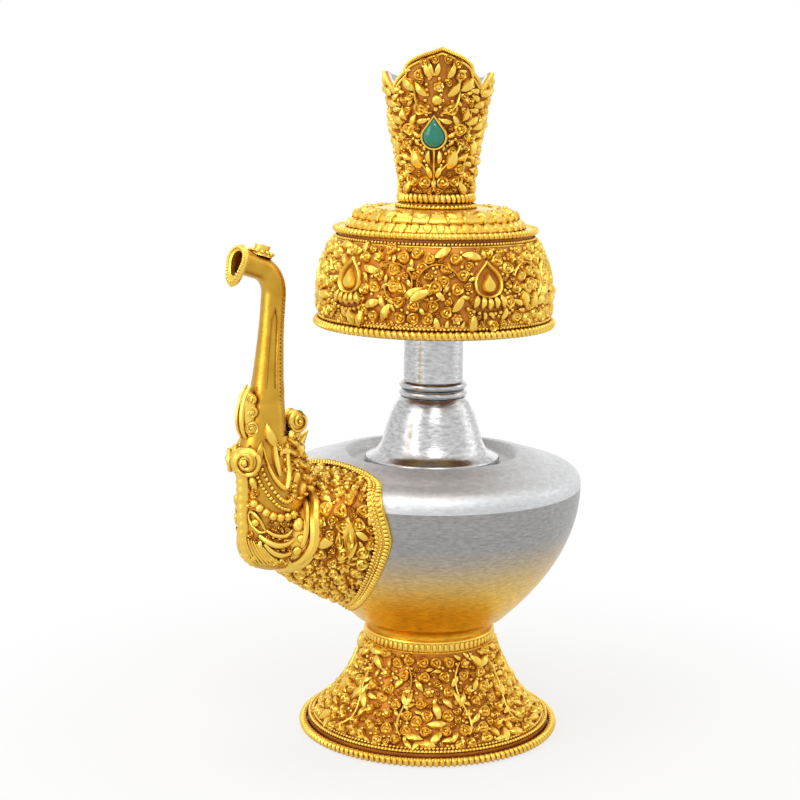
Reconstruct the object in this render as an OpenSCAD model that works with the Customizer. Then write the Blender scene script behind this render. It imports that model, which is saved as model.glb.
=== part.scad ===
// Ritual water vase with a flared foot, a silver bowl, a beast-headed spout,
// a loose drum-shaped hood on the neck and a leafed crown that holds the sprinkler.
// Millimetres. The vase stands on z = 0 with its axis on Z and its spout towards -X.

/* [Foot] */
// Radius of the foot's upright edge, under the rope
foot_edge_r = 43.2; // [38:0.2:48]
// Radius of the scrollwork at the top of the foot
foot_waist_r = 23.6; // [22.8:0.1:26]
// Height of the foot up to the ribbed collar
foot_h = 33; // [28:0.5:40]
// Wall of the foot's skirt
foot_wall = 1.2; // [0.8:0.1:1.6]
// Height of the upright edge that stands on the table
foot_lip_h = 4.2; // [3.6:0.1:6]
// Thickness of the rope round the foot
foot_rope_d = 3.2; // [2.4:0.1:3.6]
// Thickness of the bead wire on the foot's brim
foot_wire_d = 1.2; // [0.8:0.1:1.6]
// Thickness of the scrollwork laid on the foot
foot_scroll_t = 1; // [0.6:0.1:1.4]
// Spacing of the raised rosettes on the foot
foot_rosette_pitch = 6.9; // [6:0.1:9]
// Height of the ribbed collar
collar_h = 4; // [3:0.1:6]
// Radius over the collar's ribs
collar_r = 23.2; // [22.4:0.1:26]
// Number of ribs on the collar
collar_ribs = 60; // [36:1:80]

/* [Body] */
// Greatest radius of the bowl
body_r = 52.6; // [48:0.2:58]
// Radius of the bowl's seat on the collar
body_seat_r = 22; // [21.4:0.1:22.3]
// Height of the bowl from the collar to the seam
body_h = 52.3; // [46:0.1:58]
// Wall of the bowl and of the shoulder
body_wall = 1.2; // [0.8:0.1:1.8]
// Radius of the spigot under the bowl
spigot_r = 20.4; // [18:0.1:20.8]
// Length of the spigot inside the foot
spigot_h = 7; // [5:0.5:10]
// Height of the shoulder above the seam
shoulder_h = 10.9; // [9:0.1:14]
// Radius of the rim round the neck's well
well_rim_r = 31.2; // [28:0.2:36]
// Depth of the well that the neck stands in
well_depth = 3.2; // [2.4:0.1:4.5]
// Depth of the shoulder's lap inside the bowl
lap_h = 3; // [2:0.5:5]

/* [Neck] */
// Radius of the bell's flange
flange_r = 23.7; // [20:0.1:26]
// Thickness of the bell's flange
flange_h = 2.4; // [1.8:0.1:3.2]
// Height of the bell above its flange
bell_h = 20.6; // [16:0.2:26]
// Outer radius of the neck tube
neck_r = 10.3; // [9.8:0.1:11.5]
// Wall of the neck tube and of the bell
neck_wall = 1.1; // [0.8:0.1:1.3]
// Length of the neck tube above the bell
neck_h = 51.8; // [46:0.2:60]
// Height of each of the two mouldings on the neck
moulding_h = 2.8; // [2:0.1:4]
// How far a moulding stands out from the neck
moulding_out = 1.6; // [1:0.1:2.2]

/* [Spout] */
// Distance of the beast's head outside the bowl
head_reach = 18.6; // [16:0.2:22]
// Height of the spout's root over the bowl's seam, which it lies below
root_rise = -13.3; // [-16:0.1:-11]
// Half width of the shield, at its border on the bowl
shield_half_w = 27; // [24:0.5:29]
// Half height of the shield, at its border on the bowl
shield_half_h = 22.5; // [20:0.5:23]
// Radius of the shield's mouth at the beast's neck
shield_neck_r = 11.5; // [10.6:0.1:13]
// Wall of the shield
shield_wall = 1.6; // [1:0.1:2]
// Width of the beaded border round the shield
border_w = 4.2; // [3:0.1:5]
// How far the border stands off the bowl
border_t = 2.6; // [1.8:0.1:3.2]
// Radius of the beast's skull
skull_r = 10.6; // [10:0.1:12]
// Height of the beast's head above the middle of its skull
head_h = 38; // [34:0.5:42]
// Radius of the water way through the beast and the tube
water_r = 1.9; // [1.4:0.1:2.4]
// Radius of the tube at its foot
tube_foot_r = 5.6; // [5:0.1:6.4]
// Radius of the tube at the bend and the mouth
tube_r = 4; // [3.4:0.1:4.6]
// Lean of the tube towards the neck
tube_lean = 4.5; // [0:0.5:5]
// Length of the straight tube
tube_h = 42; // [36:0.5:48]
// Radius of the bend's centre line
bend_r = 9; // [7:0.5:11]
// Angle that the tube turns through at the bend
bend_turn = 77; // [60:1:85]
// Length of the tube from the bend to the mouth
mouth_run = 7; // [5:0.5:10]
// Thickness of the mouth's rim plate
mouth_rim_t = 1.6; // [1.2:0.1:2.2]
// How far the mouth's pointed lip hangs below the bore
lip_drop = 8.4; // [7:0.2:10]

/* [Hood] */
// How far the hood hangs below the end of the neck
hood_drop = 27; // [23:0.5:30]
// Radius of the hood's lower edge, under the rope
hood_edge_r = 39.1; // [36:0.1:42]
// Height of the hood from its lower edge to its top plate
hood_h = 32.5; // [29:0.5:36]
// Radius of the hood's top plate
hood_top_r = 33.4; // [31:0.2:35]
// How far the drum swells outside its lower edge
hood_swell = 2; // [1.2:0.1:2.4]
// Wall of the hood's drum
hood_wall = 1; // [0.8:0.1:1.4]
// Thickness of the scrollwork laid on the drum
hood_scroll_t = 1.2; // [0.8:0.1:1.6]
// Number of raised rosettes in each row between two jewel panels
hood_rosettes = 4; // [2:1:4]
// Thickness of the rope round the hood's lower edge
hood_rope_d = 3.2; // [2.4:0.1:3.6]
// Thickness of the rope round the hood's top
top_rope_d = 2.2; // [1.6:0.1:2.6]
// Thickness of the bead wires on the hood
hood_wire_d = 1.1; // [0.8:0.1:1.3]
// Thickness of the top plate
top_plate_t = 1.7; // [1.2:0.1:2.2]
// Radius of the lower lotus tier
lower_tier_r = 30.4; // [29:0.2:31]
// Radius of the upper lotus tier
upper_tier_r = 27.8; // [25:0.2:28.4]
// Height of the lower lotus tier
lower_tier_h = 3; // [2:0.1:4]
// Height of the upper lotus tier
upper_tier_h = 3.7; // [3:0.1:5]
// Number of petals in each lotus tier
petals = 26; // [18:1:32]
// Number of jewel panels round the drum
panels = 5; // [3:1:6]
// Width of a jewel panel
panel_w = 15; // [11:0.5:17]
// Height of a jewel panel
panel_h = 15; // [12:0.5:17]
// Turn of the hood as it stands
hood_turn = -13.5; // [-36:0.5:36]
// Wall of the sleeve that slides on the neck
sleeve_wall = 1.1; // [0.8:0.1:1.3]
// Length of the sleeve on the neck
sleeve_h = 20; // [16:0.5:22]
// Wall of the hub that turns on the sleeve
hub_wall = 1.3; // [1:0.1:1.8]

/* [Crown] */
// Outer radius of the crown at its bottom
crown_foot_r = 11.7; // [11.2:0.1:13]
// Outer radius of the crown at the side leaf tips
crown_tip_r = 18.2; // [16:0.1:20]
// Height of the side leaves above the crown's bottom
side_leaf_h = 40; // [36:0.5:44]
// Height of the front leaf above the crown's bottom
front_leaf_h = 48.4; // [45:0.2:52]
// Depth of the notch beside the front leaf, below the side tips
notch_depth = 5.2; // [3:0.2:7]
// Half angle that the front leaf covers
front_half_a = 57; // [50:1:60]
// Wall of the crown's gilt shell
crown_wall = 1.2; // [0.8:0.1:1.4]
// Wall of the crown's silver lining
lining_wall = 0.7; // [0.5:0.1:1]
// Height of the thick rope under the crown
crown_rope_h = 3.5; // [2.6:0.1:4]
// Thickness of the thick rope under the crown
crown_rope_t = 2.8; // [2:0.1:3]
// Thickness of the thin rope that the crown stands in
seat_rope_d = 1.6; // [1.2:0.1:2]
// Outer radius of the tenon under the crown
tenon_r = 8; // [7.4:0.1:8.3]
// Radius of the socket in the tenon
socket_r = 6; // [4:0.1:6.4]
// Length of the tenon below the crown's seat
tenon_h = 26; // [20:0.5:30]
// Turn of the crown as it stands
crown_turn = -44; // [-90:1:90]
// Width of the pear-shaped stone
stone_w = 7.5; // [6:0.1:8.5]
// Length of the pear-shaped stone
stone_l = 10.2; // [9:0.1:11.5]
// Height of the stone's middle above the crown's bottom
stone_rise = 20.5; // [16:0.5:24]
// How far the stone stands out of its setting
stone_dome = 1.6; // [1:0.1:2.4]
// Wall of the stone's setting
bezel_wall = 0.9; // [0.6:0.1:1.2]

/* [Fits] */
// Gap in a soldered or set seam
seam = 0.05; // [0.03:0.01:0.08]
// Radial gap of a sliding or turning fit
running_gap = 0.05; // [0.03:0.01:0.09]
// Gap between loose pieces that stand on each other
rest_gap = 0.06; // [0.04:0.01:0.1]
// Gap between loose pieces that don't touch
free_gap = 0.3; // [0.3:0.05:0.5]

/* [Hidden] */
$fn = 96;
curve_steps = 14;
far = 200;
gilt = "#d9962a";
dark_gilt = "#b8741c";
silver_white = "#c9cacb";
teal = "#1f8f82";

// Heights of the seats, from the table up
body_z = foot_h + collar_h;
seam_z = body_z + body_h;
well_rim_z = seam_z + shoulder_h;
well_z = well_rim_z - well_depth;
flange_z = well_z + flange_h;
bell_z = flange_z + bell_h;
neck_z = bell_z + neck_h;
neck_bore_r = neck_r - neck_wall;

root_z = seam_z + root_rise;
head_x = -(body_r + head_reach);
head_z = root_z + 4;
tube_z = head_z + head_h;

sleeve_bore_r = neck_r + running_gap;
sleeve_r = sleeve_bore_r + sleeve_wall;
sleeve_lip_t = 1.2;
sleeve_flange_out = 2.2;
sleeve_z = neck_z + rest_gap;
hub_bore_r = sleeve_r + running_gap;
hub_r = hub_bore_r + hub_wall;
hub_z = sleeve_z - sleeve_h + rest_gap;
hood_z = neck_z - hood_drop;
top_z = hood_z + hood_h;
tier_z = top_z + top_plate_t;
upper_tier_z = tier_z + lower_tier_h;
seat_z = upper_tier_z + upper_tier_h;
bush_wall = 1.3;
bush_bore_r = tenon_r + running_gap;
bush_r = bush_bore_r + bush_wall;

seat_rope_r = crown_foot_r + crown_rope_t / 2 + 0.3;
crown_z = seat_z + seat_rope_d + free_gap;
crown_rope_r = crown_foot_r - 0.9 + crown_rope_t / 2;
cup_z = crown_z + crown_rope_h + seam;
crown_slope = (crown_tip_r - crown_foot_r) / side_leaf_h;
crown_tilt = atan(crown_slope);
leaf_top_h = front_leaf_h + 4;

function bez(a, b, c, d) = [for (i = [0 : curve_steps]) let (t = i / curve_steps, s = 1 - t)
    s * s * s * a + 3 * s * s * t * b + 3 * s * t * t * c + t * t * t * d];
function reversed(p) = [for (i = [len(p) - 1 : -1 : 0]) p[i]];
function skip_first(p) = [for (i = [1 : len(p) - 1]) p[i]];
function unit(v) = v / norm(v);
function side(p, i) = let (t = unit(p[min(i + 1, len(p) - 1)] - p[max(i - 1, 0)])) [t[1], -t[0]];
// A path moved by w to its right hand, which is outwards on a path that climbs
function moved(p, w) = [for (i = [0 : len(p) - 1]) p[i] + w * side(p, i)];
// The part of a path between two heights
function between(p, low, high) = [for (q = p) if (q[1] >= low && q[1] <= high) q];
// Radius of a path at a height
function radius_at(p, z) = lookup(z, [for (q = p) [q[1], q[0]]]);
// Length of a path
function path_length(p, i = 0) = i >= len(p) - 1 ? 0 : norm(p[i + 1] - p[i]) + path_length(p, i + 1);
function oval(w, h) = [for (i = [0 : 63]) [w * cos(i * 360 / 64), h * sin(i * 360 / 64)]];
// A shield with broad shoulders and a narrower chin
function shield_outline(w, h) = [for (i = [0 : 63]) let (c = cos(i * 360 / 64), s = sin(i * 360 / 64),
    e = s > 0 ? 0.6 : 1.35) [w * sign(c) * pow(abs(c), e), (s > 0 ? h : 1.1 * h) * sign(s) * pow(abs(s), e)]];
// A circle of radius r drawn out to a point at the distance reach from its middle, along Y
function drop(r, reach) = let (a = asin(r / reach), turn = 180 + 2 * a)
    concat([[0, reach]], [for (i = [0 : 40]) let (at = 180 - a + turn * i / 40) r * [cos(at), sin(at)]]);

// Raised rosettes on the scrollwork: radius, height and depth of the bed below the face
rosette_r = 2.3;
rosette_h = 0.7;
rosette_bed = 0.4;

// Outer face of the foot's scrollwork, from the brim up to the collar
brim_w = 1.5;
foot_line = bez([foot_edge_r - brim_w, foot_lip_h + 0.6],
    [foot_edge_r - brim_w - (foot_edge_r - foot_waist_r) * 0.43, foot_lip_h + (foot_h - foot_lip_h) * 0.17],
    [foot_waist_r + 0.5, foot_lip_h + (foot_h - foot_lip_h) * 0.78],
    [foot_waist_r, foot_h]);

// Outer face of the bowl, from its seat up to the seam
bowl_stem_r = body_seat_r + 5.2;
bowl_stem_h = 5;
bowl_line = concat(
    bez([body_seat_r, body_z], [body_seat_r, body_z + bowl_stem_h * 0.42],
        [body_seat_r + 1.4, body_z + bowl_stem_h * 0.78], [bowl_stem_r, body_z + bowl_stem_h]),
    skip_first(bez([bowl_stem_r, body_z + bowl_stem_h],
        [bowl_stem_r + (body_r - bowl_stem_r) * 0.39, body_z + bowl_stem_h + body_h * 0.176],
        [body_r, body_z + body_h * 0.583], [body_r, seam_z])));

// Outer face of the shoulder, from the seam up to the well's rim
round_r = body_r - 9.35;
shoulder_line = concat(
    bez([body_r, seam_z], [body_r, seam_z + shoulder_h * 0.37],
        [body_r - 1.2, seam_z + shoulder_h * 0.578], [round_r, seam_z + shoulder_h * 0.688]),
    skip_first(bez([round_r, seam_z + shoulder_h * 0.688], [round_r - 4, seam_z + shoulder_h * 0.835],
        [well_rim_r + 5, well_rim_z - 0.4], [well_rim_r, well_rim_z])));

// Outer face of the bell, from its flange up to the mouldings
bell_top_r = neck_r + seam + neck_wall;
bell_line = bez([flange_r - 3.2, flange_z + 0.7], [flange_r - 7.8, flange_z + bell_h * 0.2],
    [bell_top_r + 5.2, flange_z + bell_h * 0.72], [bell_top_r, bell_z]);

// Outer face of the drum's scrollwork, from the bead wire up to the cavetto
drum_low_z = hood_z + hood_rope_d + hood_wire_d;
drum_high_z = hood_z + hood_h * 0.925;
drum_line = bez([hood_edge_r + hood_swell * 0.55, drum_low_z],
    [hood_edge_r + hood_swell * 1.2, drum_low_z + (drum_high_z - drum_low_z) * 0.27],
    [hood_edge_r + hood_swell * 0.4, drum_low_z + (drum_high_z - drum_low_z) * 0.69],
    [hood_top_r + 1.9, drum_high_z]);
drum_face = moved(drum_line, -(hood_scroll_t + seam));
cavetto_r = hood_top_r + 0.2;
cavetto_z = hood_z + hood_h * 0.96;

module revolved(points) {
    rotate_extrude() polygon(points);
}

module ring(center_r, d, z) {
    translate([0, 0, z]) rotate_extrude() translate([center_r, 0]) circle(d = d);
}

module tube(outer_r, inner_r, low_z, high_z) {
    rotate_extrude() translate([inner_r, low_z]) square([outer_r - inner_r, high_z - low_z]);
}

module bowl_solid(grow) {
    revolved(concat([[0, body_z]], moved(bowl_line, grow), skip_first(moved(shoulder_line, grow)),
        [[0, well_rim_z + grow]]));
}

// Foot

module foot_skirt() {
    face = moved(foot_line, -(foot_scroll_t + seam));
    back = moved(foot_line, -(foot_scroll_t + seam + foot_wall));
    inner_top_r = spigot_r + seam;
    color(dark_gilt) revolved(concat([[foot_edge_r, 0], [foot_edge_r, foot_lip_h]],
        [[foot_edge_r - brim_w, foot_lip_h]], skip_first(between(face, foot_lip_h, foot_h - 1.6)),
        [[foot_waist_r - foot_scroll_t, foot_h], [inner_top_r, foot_h], [inner_top_r, foot_h - 2.4]],
        reversed(between(back, foot_lip_h - foot_wall, foot_h - 4)),
        [[foot_edge_r - foot_wall * 1.4, foot_lip_h - foot_wall], [foot_edge_r - foot_wall * 1.4, 0]]));
}

// A raised rosette on point i of an outer face
module rosette(line, i) {
    n = side(line, i);
    translate([line[i][0], 0, line[i][1]]) rotate([0, atan2(n[0], n[1]), 0]) translate([0, 0, -rosette_bed])
        cylinder(r1 = rosette_r, r2 = rosette_r * 0.6, h = rosette_bed + rosette_h);
}

module foot_scrollwork() {
    outside = between(foot_line, foot_lip_h + foot_wire_d, foot_h - 2);
    inside = between(moved(foot_line, -foot_scroll_t), foot_lip_h + foot_wire_d, foot_h - 2);
    last = len(outside) - 3;
    rows = floor(path_length(outside) / foot_rosette_pitch);
    color(gilt) {
        revolved(concat(outside, reversed(inside)));
        for (row = [0 : rows - 1]) let (i = round(2 + (last - 2) * row / (rows - 1)),
            count = floor(2 * PI * outside[i][0] / foot_rosette_pitch))
            for (k = [0 : count - 1]) rotate([0, 0, (k + row / 2) * 360 / count]) rosette(outside, i);
    }
}

module foot_rope() {
    color(gilt) ring(foot_edge_r + seam + foot_rope_d / 2, foot_rope_d, foot_rope_d / 2 + free_gap);
}

module foot_bead_wire() {
    color(gilt) ring(foot_edge_r - foot_wire_d / 2, foot_wire_d, foot_lip_h + seam + foot_wire_d / 2);
}

module foot_collar() {
    rib_r = PI * collar_r / collar_ribs * 0.5;
    color(gilt) translate([0, 0, foot_h]) difference() {
        union() {
            cylinder(r = collar_r - rib_r, h = collar_h);
            for (i = [0 : collar_ribs - 1]) rotate([0, 0, i * 360 / collar_ribs])
                translate([collar_r - rib_r, 0, collar_h * 0.15])
                    cylinder(r = rib_r, h = collar_h * 0.7, $fn = 8);
        }
        translate([0, 0, -1]) cylinder(r = spigot_r + seam, h = collar_h + 2);
    }
}

// Body and neck

module body_bowl() {
    inner = between(moved(bowl_line, -body_wall), body_z + body_wall, seam_z - 0.01);
    color(silver_white) difference() {
        union() {
            revolved(concat([[0, body_z]], bowl_line, [[body_r - body_wall, seam_z]], reversed(inner),
                [[0, inner[0][1]]]));
            tube(spigot_r, spigot_r - body_wall, body_z - spigot_h, body_z + body_wall / 2);
        }
        translate([0, 0, root_z]) rotate([0, -90, 0]) cylinder(r = water_r, h = far);
    }
}

module body_shoulder() {
    inner = moved(shoulder_line, -body_wall);
    lap_r = radius_at(moved(bowl_line, -body_wall), seam_z - lap_h) - seam;
    hole_r = neck_r + neck_wall;
    color(silver_white) revolved(concat(
        [[lap_r, seam_z - lap_h], [lap_r, seam_z]], shoulder_line,
        [[well_rim_r - 0.8, well_rim_z], [well_rim_r - 1.6, well_rim_z - 0.6], [well_rim_r - 2.2, well_z],
         [hole_r, well_z], [hole_r, well_z - body_wall], [well_rim_r - 2, well_z - body_wall],
         [well_rim_r - 0.2, well_rim_z - body_wall - 0.7]],
        reversed(between(inner, seam_z + 0.5, well_rim_z - body_wall - 0.8)),
        [[lap_r - body_wall, seam_z], [lap_r - body_wall, seam_z - lap_h]]));
}

module neck_bell() {
    inner = between(moved(bell_line, -neck_wall), flange_z + 1, bell_z - 3);
    roll_r = flange_h / 2;
    color(silver_white) revolved(concat(
        [for (a = [-90 : 15 : 60]) [flange_r - roll_r, well_z + roll_r] + roll_r * [cos(a), sin(a)]],
        bell_line, [[neck_r + seam, bell_z], [neck_r + seam, bell_z - 2.4]],
        reversed(inner), [[flange_r - 7, flange_z - flange_h * 0.4], [flange_r - 7, well_z]]));
}

module moulding(z) {
    roll = moulding_h / 2;
    translate([0, 0, z]) rotate_extrude() {
        translate([neck_r + seam, 0]) square([moulding_out - roll, moulding_h]);
        intersection() {
            translate([neck_r + seam + moulding_out - roll, roll]) circle(r = roll);
            translate([neck_r + seam, 0]) square([far, moulding_h]);
        }
    }
}

module neck_moulding_lower() {
    color(silver_white) moulding(bell_z);
}

module neck_moulding_upper() {
    color(silver_white) moulding(bell_z + moulding_h);
}

module neck_tube() {
    color(silver_white) tube(neck_r, neck_bore_r, bell_z - 4, neck_z);
}

// Spout

shield_near_x = -(body_r - 16.4);
shield_far_x = head_x + 7;
shield_spread_w = shield_half_w + 9;
shield_spread_h = shield_half_h + 5.5;
shield_rise = 2.5;

module shield_cone(grow) {
    hull() {
        translate([shield_near_x, 0, root_z + shield_rise]) rotate([90, 0, -90]) linear_extrude(0.1)
            polygon(shield_outline(shield_spread_w + grow, shield_spread_h + grow));
        translate([shield_far_x, 0, root_z]) rotate([90, 0, -90]) linear_extrude(0.1)
            polygon(oval(shield_neck_r + grow, shield_neck_r + grow));
    }
}

// The upright oval that the shield fills and its border surrounds
module shield_prism(w, h, rise) {
    translate([0, 0, root_z + rise]) rotate([90, 0, -90]) linear_extrude(far) polygon(shield_outline(w, h));
}

module spout_shield() {
    hollow_r = shield_half_h - 3 * shield_wall;
    neck_bore = shield_neck_r - shield_wall;
    color(gilt) difference() {
        intersection() {
            shield_cone(0);
            shield_prism(shield_half_w, shield_half_h, 0);
        }
        bowl_solid(seam);
        makara_core(seam);
        translate([shield_near_x, 0, root_z]) rotate([0, -90, 0])
            cylinder(r1 = hollow_r, r2 = neck_bore, h = shield_near_x - shield_far_x - 4);
        translate([shield_near_x, 0, root_z]) rotate([0, -90, 0]) cylinder(r = neck_bore, h = far);
    }
}

module shield_border() {
    under = border_w * 0.7;
    over = border_w * 0.25;
    color(gilt) difference() {
        intersection() {
            bowl_solid(border_t);
            shield_prism(shield_half_w + border_w, shield_half_h + (under + over) / 2, (over - under) / 2);
        }
        bowl_solid(seam);
        shield_prism(shield_half_w + seam, shield_half_h + seam, 0);
    }
}

// Outer face of the beast's head without its jaws, from under the skull up to the calyx
skull_top_h = head_h * 0.74;
calyx_foot_r = tube_foot_r + 2.6;
head_line = concat([for (a = [-90 : 9 : -9]) skull_r * [cos(a), sin(a)]],
    bez([skull_r, 0], [skull_r, skull_top_h * 0.36], [skull_r - 0.6, skull_top_h * 0.72],
        [calyx_foot_r + 0.6, skull_top_h]));
calyx_lap = 9;
calyx_h = head_h - skull_top_h + calyx_lap;

module makara_core(grow) {
    translate([head_x, 0, head_z]) revolved(concat(moved(head_line, grow), [[0, skull_top_h + grow]]));
}

module calyx_core(grow) {
    translate([head_x, 0, head_z + skull_top_h])
        cylinder(r1 = calyx_foot_r + grow, r2 = tube_foot_r + 1.8 + grow, h = calyx_h + grow);
}

// The neck inside the shield
module makara_neck(grow) {
    translate([head_x, 0, root_z]) rotate([0, 90, 0])
        cylinder(r = shield_neck_r - shield_wall - seam + grow, h = head_reach - 4);
}

module makara_head() {
    color(gilt) difference() {
        union() {
            makara_core(0);
            makara_neck(0);
        }
        bowl_solid(seam + 1);
        translate([head_x, 0, head_z]) cylinder(r = water_r, h = far);
        translate([head_x, 0, root_z]) rotate([0, 90, 0]) cylinder(r = water_r, h = far);
    }
}

// Extrudes a side view of the head, drawn with X away from the bowl, across the head
module across_head(w) {
    translate([head_x, -w / 2, head_z]) mirror([1, 0, 0]) rotate([90, 0, 180]) mirror([1, 0, 0])
        linear_extrude(w) children();
}

// The upper jaw, which climbs the outer side and rolls up into a trunk
module makara_trunk() {
    roll_r = 5.3;
    roll_w = 9;
    roll_at = [skull_r - 0.2, head_h * 0.74];
    brow_h = head_h * 0.6;
    muzzle = 2.6;
    back_x = 4;
    drop_h = 5;
    color(gilt) difference() {
        across_head(roll_w) {
            translate(roll_at) circle(r = roll_r);
            polygon(concat(bez([skull_r - 2, -drop_h], [skull_r + muzzle, 2], [skull_r + 1, brow_h * 0.7],
                [roll_at[0] + roll_r * 0.9, roll_at[1]]), [[back_x, roll_at[1]], [back_x, -drop_h]]));
        }
        makara_core(seam);
        calyx_core(seam);
        translate([0, roll_w, 0]) across_head(3 * roll_w) translate(roll_at) circle(r = 1.5);
    }
}

// The lower jaw, which climbs the bowl's side and ends in a curl
module makara_jaw() {
    roll_r = 3.7;
    roll_w = 8;
    roll_at = [-skull_r + 0.9, head_h * 1.04];
    chin_h = head_h * 0.4;
    back_x = -5;
    curl = [for (a = [190 : -10 : -70]) roll_at + roll_r * [cos(a), sin(a)]];
    color(gilt) difference() {
        across_head(roll_w) polygon(concat(bez([-skull_r + 2, chin_h], [-skull_r - 2.4, chin_h + 2],
            [-skull_r, head_h * 0.7], curl[0]), skip_first(curl),
            [[back_x, head_h * 0.85], [back_x, chin_h]]));
        makara_core(seam);
        calyx_core(seam);
    }
}

module makara_eyes() {
    eye_r = 2.6;
    eye_out = skull_r * 0.78;
    color(gilt) difference() {
        for (s = [-1, 1]) translate([head_x - skull_r * 0.5, s * eye_out, head_z + skull_r * 0.5])
            sphere(r = eye_r);
        makara_core(seam);
    }
}

// Round ear fins on the cheeks
module makara_fins() {
    fin_r = 4;
    fin_t = 3;
    color(gilt) difference() {
        for (s = [-1, 1]) translate([head_x + 1, s * (skull_r - 1), head_z - 1]) rotate([90, 0, 0])
            rotate_extrude() translate([fin_r, 0]) circle(d = fin_t);
        makara_core(seam);
        makara_neck(seam);
    }
}

// Leans a shape about the tube's foot
module leaned() {
    translate([head_x, 0, tube_z]) rotate([0, tube_lean, 0]) translate([-head_x, 0, -tube_z]) children();
}

module spout_calyx() {
    color(gilt) difference() {
        translate([0, 0, seam]) calyx_core(0);
        leaned() translate([head_x, 0, tube_z - seam]) cylinder(r = tube_foot_r + seam, h = far);
        translate([head_x, 0, head_z]) cylinder(r = water_r, h = far);
    }
}

module spout_tube() {
    color(gilt) leaned() translate([head_x, 0, tube_z]) difference() {
        cylinder(r1 = tube_foot_r, r2 = tube_r, h = tube_h);
        translate([0, 0, -1]) cylinder(r = water_r, h = tube_h + 2);
    }
}

// Places a shape at the end of the bend, with Z along the water's way
module at_bend_end() {
    leaned() translate([head_x - bend_r, 0, tube_z + tube_h]) rotate([0, 90 - bend_turn, 0])
        translate([0, 0, bend_r]) rotate([0, -90, 0]) children();
}

module bend_section() {
    difference() {
        circle(r = tube_r);
        circle(r = water_r);
    }
}

module spout_bend() {
    color(gilt) leaned() translate([head_x - bend_r, 0, tube_z + tube_h]) rotate([90, 0, 0])
        rotate_extrude(angle = bend_turn) translate([bend_r, 0]) bend_section();
}

module spout_nozzle() {
    color(gilt) at_bend_end() translate([0, 0, seam]) linear_extrude(mouth_run - seam) bend_section();
}

module spout_mouth_rim() {
    rim_r = tube_r + 0.9;
    color(gilt) at_bend_end() translate([0, 0, mouth_run]) difference() {
        linear_extrude(mouth_rim_t) rotate(90) polygon(drop(rim_r, lip_drop));
        translate([0, 0, -1]) cylinder(r = water_r + 0.7, h = mouth_rim_t + 2);
    }
}

module spout_boss() {
    cup_r = 2.3;
    color(gilt) difference() {
        at_bend_end() rotate([0, 90, 0]) {
            cylinder(r = cup_r + 1.4, h = tube_r + 1);
            cylinder(r = cup_r, h = tube_r + 3);
        }
        at_bend_end() translate([0, 0, -mouth_run]) cylinder(r = tube_r + seam, h = 3 * mouth_run);
    }
}

// Hood

module hood_sleeve() {
    low_z = sleeve_z - sleeve_h;
    color(silver_white) {
        tube(sleeve_r, sleeve_bore_r, low_z - sleeve_lip_t, sleeve_z);
        tube(sleeve_r, neck_bore_r, sleeve_z, sleeve_z + sleeve_lip_t);
        tube(sleeve_r + sleeve_flange_out, sleeve_bore_r, low_z - sleeve_lip_t, low_z);
    }
}

module hood_hub() {
    color(dark_gilt) tube(hub_r, hub_bore_r, hub_z, top_z);
}

module hood_drum() {
    face = between(drum_face, drum_low_z, drum_high_z);
    back = between(moved(drum_face, -hood_wall), drum_low_z, drum_high_z);
    color(dark_gilt) revolved(concat([[hood_edge_r, hood_z], [hood_edge_r, hood_z + hood_rope_d]],
        face, [[cavetto_r, cavetto_z - hood_wire_d / 2], [cavetto_r, cavetto_z + hood_wire_d / 2],
         [hood_top_r, top_z], [hood_top_r - hood_wall, top_z], [cavetto_r - hood_wall, cavetto_z]],
        reversed(back),
        [[hood_edge_r - hood_wall, hood_z + hood_rope_d], [hood_edge_r - hood_wall, hood_z]]));
}

module hood_scrollwork() {
    window_z = (drum_low_z + drum_high_z) / 2 - panel_h / 2;
    panel_turn = 360 / panels;
    free_turn = panel_turn - 2 * asin((panel_w / 2 + rosette_r + 1) / hood_edge_r);
    rows = [round(curve_steps * 0.17), round(curve_steps * 0.5), round(curve_steps * 0.83)];
    color(gilt) rotate([0, 0, hood_turn]) {
        difference() {
            rotate([0, 0, -90]) revolved(concat(drum_line, reversed(moved(drum_line, -hood_scroll_t))));
            for (i = [0 : panels - 1]) rotate([0, 0, i * panel_turn])
                translate([-panel_w / 2, -far, window_z]) cube([panel_w, far, panel_h]);
        }
        for (i = [0 : panels - 1]) for (row = rows) for (k = [0 : hood_rosettes - 1])
            rotate([0, 0, (i + 0.5) * panel_turn - 90 + free_turn * (k / (hood_rosettes - 1) - 0.5)])
                rosette(drum_line, row);
    }
}

module jewel_outline() {
    base_w = panel_w * 0.62;
    drop_r = panel_h * 0.22;
    square_h = panel_h * 0.16;
    translate([-base_w / 2, -panel_h / 2 + 1]) square([base_w, square_h]);
    translate([0, -panel_h / 2 + 1 + square_h + drop_r * 0.9]) {
        circle(r = drop_r);
        polygon([[-drop_r * 0.8, drop_r * 0.6], [drop_r * 0.8, drop_r * 0.6], [0, panel_h * 0.38]]);
    }
}

module hood_jewels() {
    mid_z = (drum_low_z + drum_high_z) / 2;
    color(gilt) rotate([0, 0, hood_turn]) difference() {
        for (i = [0 : panels - 1]) rotate([0, 0, i * 360 / panels])
            translate([0, -hood_edge_r + 3, mid_z]) rotate([90, 0, 0])
                linear_extrude(3 + hood_swell) jewel_outline();
        revolved(concat([[0, drum_low_z]], moved(drum_face, seam), [[0, drum_high_z]]));
    }
}

module hood_rope() {
    color(gilt) ring(hood_edge_r + seam + hood_rope_d / 2, hood_rope_d, hood_z + hood_rope_d / 2);
}

module hood_bead_wire() {
    wire_r = hood_wire_d / 2;
    inner_r = max(drum_face[0][0], hood_edge_r) + seam;
    color(gilt) ring(inner_r + wire_r, hood_wire_d, drum_low_z - seam - wire_r);
}

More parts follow.
